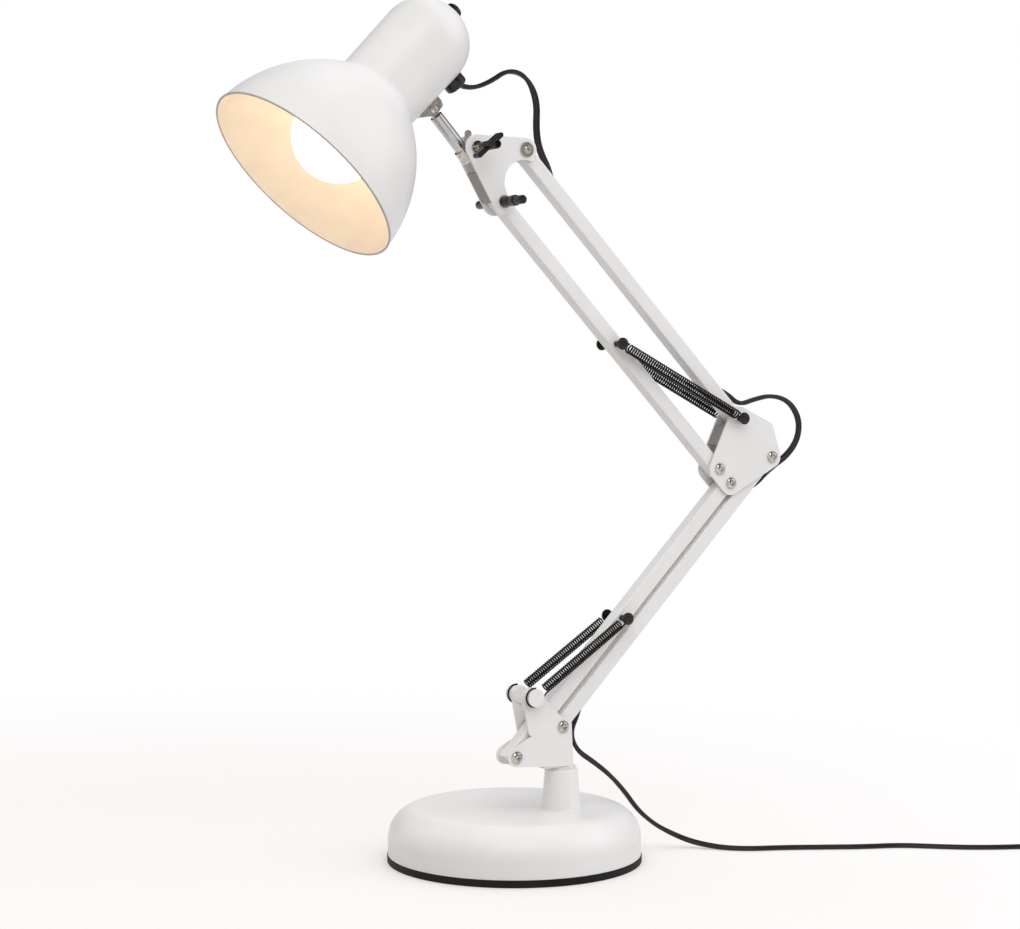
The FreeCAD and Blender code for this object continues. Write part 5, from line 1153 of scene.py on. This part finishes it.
# %% The sweep's paper
FADE_FROM, FADE_TO = 0.20, 0.90
FADE_CENTRE = Vector((-0.20, 0.10, 0.0))
FLOOR_LIFT = 0.30
paper = bpy.data.materials.new("white_sweep")
paper.use_nodes = True
floor_mesh.materials.append(paper)
tree = paper.node_tree
tree.nodes.clear()
coordinates = add(tree, "ShaderNodeTexCoord")
from_centre = add(tree, "ShaderNodeVectorMath", {"operation": "SUBTRACT"}, [
    (0, coordinates.outputs["Object"]), (1, FADE_CENTRE)])
far_off = add(tree, "ShaderNodeVectorMath", {"operation": "LENGTH"}, [
    (0, from_centre.outputs["Vector"])])
fade = add(tree, "ShaderNodeMapRange", {"interpolation_type": "SMOOTHSTEP"}, [
    ("Value", far_off.outputs["Value"]), ("From Min", FADE_FROM), ("From Max", FADE_TO)])
rays = add(tree, "ShaderNodeLightPath")
seen = add(tree, "ShaderNodeMath", {"operation": "MAXIMUM"}, [
    (0, rays.outputs["Is Camera Ray"]), (1, rays.outputs["Is Glossy Ray"])])
seen_through = add(tree, "ShaderNodeMath", {"operation": "MAXIMUM"}, [
    (0, seen.outputs[0]), (1, rays.outputs["Is Transmission Ray"])])
white_share = add(tree, "ShaderNodeMath", {"operation": "MULTIPLY"}, [
    (0, seen_through.outputs[0]), (1, fade.outputs["Result"])])
lift = add(tree, "ShaderNodeMath", {"operation": "MULTIPLY"}, [
    (0, seen_through.outputs[0]), (1, FLOOR_LIFT)])
matt = add(tree, "ShaderNodeBsdfDiffuse", (), [("Color", linear("#C8C5C3"))])
lifted = add(tree, "ShaderNodeEmission", (), [
    ("Color", linear("#FFFEFC")), ("Strength", lift.outputs[0])])
shadowed = add(tree, "ShaderNodeAddShader", (), [(0, matt.outputs[0]), (1, lifted.outputs[0])])
bright = add(tree, "ShaderNodeEmission", (), [("Color", linear("#FFFFFF")), ("Strength", 1.0)])
mixed = add(tree, "ShaderNodeMixShader", (), [
    (0, white_share.outputs[0]), (1, shadowed.outputs[0]), (2, bright.outputs[0])])
add(tree, "ShaderNodeOutputMaterial", (), [("Surface", mixed.outputs[0])])
print("the floor is white from", FADE_TO, "m on")

# %% [markdown]
# The world gives soft light from all round: about twice as much from above, less along x than from
# the front and the back, and a little more from the elbow's side than from the shade's.

# %% The world's light
SIDE_LIGHT, TOP_LIGHT, TOP_FROM = 0.70, 1.42, 0.9
DIM_FROM, DIM_TO, DIM_SHARE = 0.2, 0.95, 0.6
LEAN, LEAN_REACH = 0.14, 0.9
world = bpy.data.worlds.new("studio")
bpy.context.scene.world = world
world.use_nodes = True
tree = world.node_tree
tree.nodes.clear()
coordinates = add(tree, "ShaderNodeTexCoord")
parts = add(tree, "ShaderNodeSeparateXYZ", (), [(0, coordinates.outputs["Generated"])])
overhead = add(tree, "ShaderNodeMapRange", (), [
    ("Value", parts.outputs["Z"]), ("From Min", 0.0), ("From Max", TOP_FROM),
    ("To Min", SIDE_LIGHT), ("To Max", TOP_LIGHT)])
aside = add(tree, "ShaderNodeMath", {"operation": "ABSOLUTE"}, [(0, parts.outputs["X"])])
dim_side = add(tree, "ShaderNodeMapRange", {"interpolation_type": "SMOOTHSTEP"}, [
    ("Value", aside.outputs[0]), ("From Min", DIM_FROM), ("From Max", DIM_TO),
    ("To Min", 1.0), ("To Max", DIM_SHARE)])
lean = add(tree, "ShaderNodeMapRange", (), [
    ("Value", parts.outputs["X"]), ("From Min", -LEAN_REACH), ("From Max", LEAN_REACH),
    ("To Min", 1 - LEAN), ("To Max", 1 + LEAN)])
leaned = add(tree, "ShaderNodeMath", {"operation": "MULTIPLY"}, [
    (0, dim_side.outputs["Result"]), (1, lean.outputs["Result"])])
ambient = add(tree, "ShaderNodeMath", {"operation": "MULTIPLY"}, [
    (0, overhead.outputs["Result"]), (1, leaned.outputs[0])])
around = add(tree, "ShaderNodeBackground", (), [
    ("Color", linear("#F8F8FA")), ("Strength", ambient.outputs[0])])
print("the world's light runs from", SIDE_LIGHT, "to", TOP_LIGHT)

# %% [markdown]
# The camera sees plain white. Bright metal needs something to mirror, so glossy rays see upright
# bands instead: a white wall, a dark gap, a lit card and the dim room.

# %% What the camera and bright metal see
# Shares of the way from left to right, with the grey that metal mirrors there.
ROOM_BANDS = [(0.0, "#F2F2F2"), (1.0, "#8C8A88"), (0.34, "#E8E8E8"), (0.43, "#4A4644"),
              (0.60, "#3A3735"), (0.68, "#D8D8D8"), (0.80, "#7A7775")]
rays = add(tree, "ShaderNodeLightPath")
seen = add(tree, "ShaderNodeMath", {"operation": "MAXIMUM"}, [
    (0, rays.outputs["Is Camera Ray"]), (1, rays.outputs["Is Transmission Ray"])])
backdrop = add(tree, "ShaderNodeBackground", (), [
    ("Color", linear("#FFFFFF")), ("Strength", 1.0)])
across = add(tree, "ShaderNodeMapRange", (), [
    ("Value", parts.outputs["X"]), ("From Min", -1.0), ("From Max", 1.0)])
room = add(tree, "ShaderNodeValToRGB", (), [("Fac", across.outputs["Result"])])
stops = room.color_ramp.elements
ready = len(stops)  # a new ramp comes with two
for place, (share, grey) in enumerate(ROOM_BANDS):
    stop = stops[place] if place < ready else stops.new(share)
    stop.position = share
    stop.color = linear(grey)
mirrored = add(tree, "ShaderNodeBackground", (), [
    ("Color", room.outputs["Color"]), ("Strength", 1.0)])
lit = add(tree, "ShaderNodeMixShader", (), [
    (0, rays.outputs["Is Glossy Ray"]), (1, around.outputs[0]), (2, mirrored.outputs[0])])
mixed = add(tree, "ShaderNodeMixShader", (), [
    (0, seen.outputs[0]), (1, lit.outputs[0]), (2, backdrop.outputs[0])])
add(tree, "ShaderNodeOutputWorld", (), [("Surface", mixed.outputs[0])])
print(len(ROOM_BANDS), "bands for metal to mirror")

# %% [markdown]
# Two large softboxes add a little direction: the key from high above the camera, and a cooler fill
# from the picture's right. Both are far larger than the lamp, so that their shadows stay soft.

# %% Two softboxes
AIM = Vector((0.02, -0.02, 0.3))
SOFTBOXES = [
    ("key_softbox", (-0.8, -1.7, 2.2), 1.6, 12.5, "#FFFDFA"),
    ("fill_softbox", (1.9, -1.3, 1.3), 1.8, 11.5, "#F8FAFF"),
]
for name, place, size, power, colour in SOFTBOXES:
    light = bpy.data.lights.new(name, "AREA")
    light.shape = "SQUARE"
    light.size = size
    light.energy = power
    light.color = linear(colour)[:3]
    softbox = put(name, light)
    softbox.location = place
    softbox.rotation_euler = (AIM - Vector(place)).to_track_quat("-Z", "Y").to_euler()
bpy.context.scene.view_settings.view_transform = "Standard"
print(len(SOFTBOXES), "softboxes")

# %% [markdown]
# ## Sizes
# The box of the solids and the box of the finished pieces should agree to a fraction of a
# millimetre. Both are printed.

# %% Print the sizes
visual_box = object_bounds()
sizes = {
    "cad": [list(corner) for corner in cad_box],
    "visual": [list(corner) for corner in visual_box],
}
for word, corners in sizes.items():
    print(word, [[round(value, 4) for value in corner] for corner in corners])
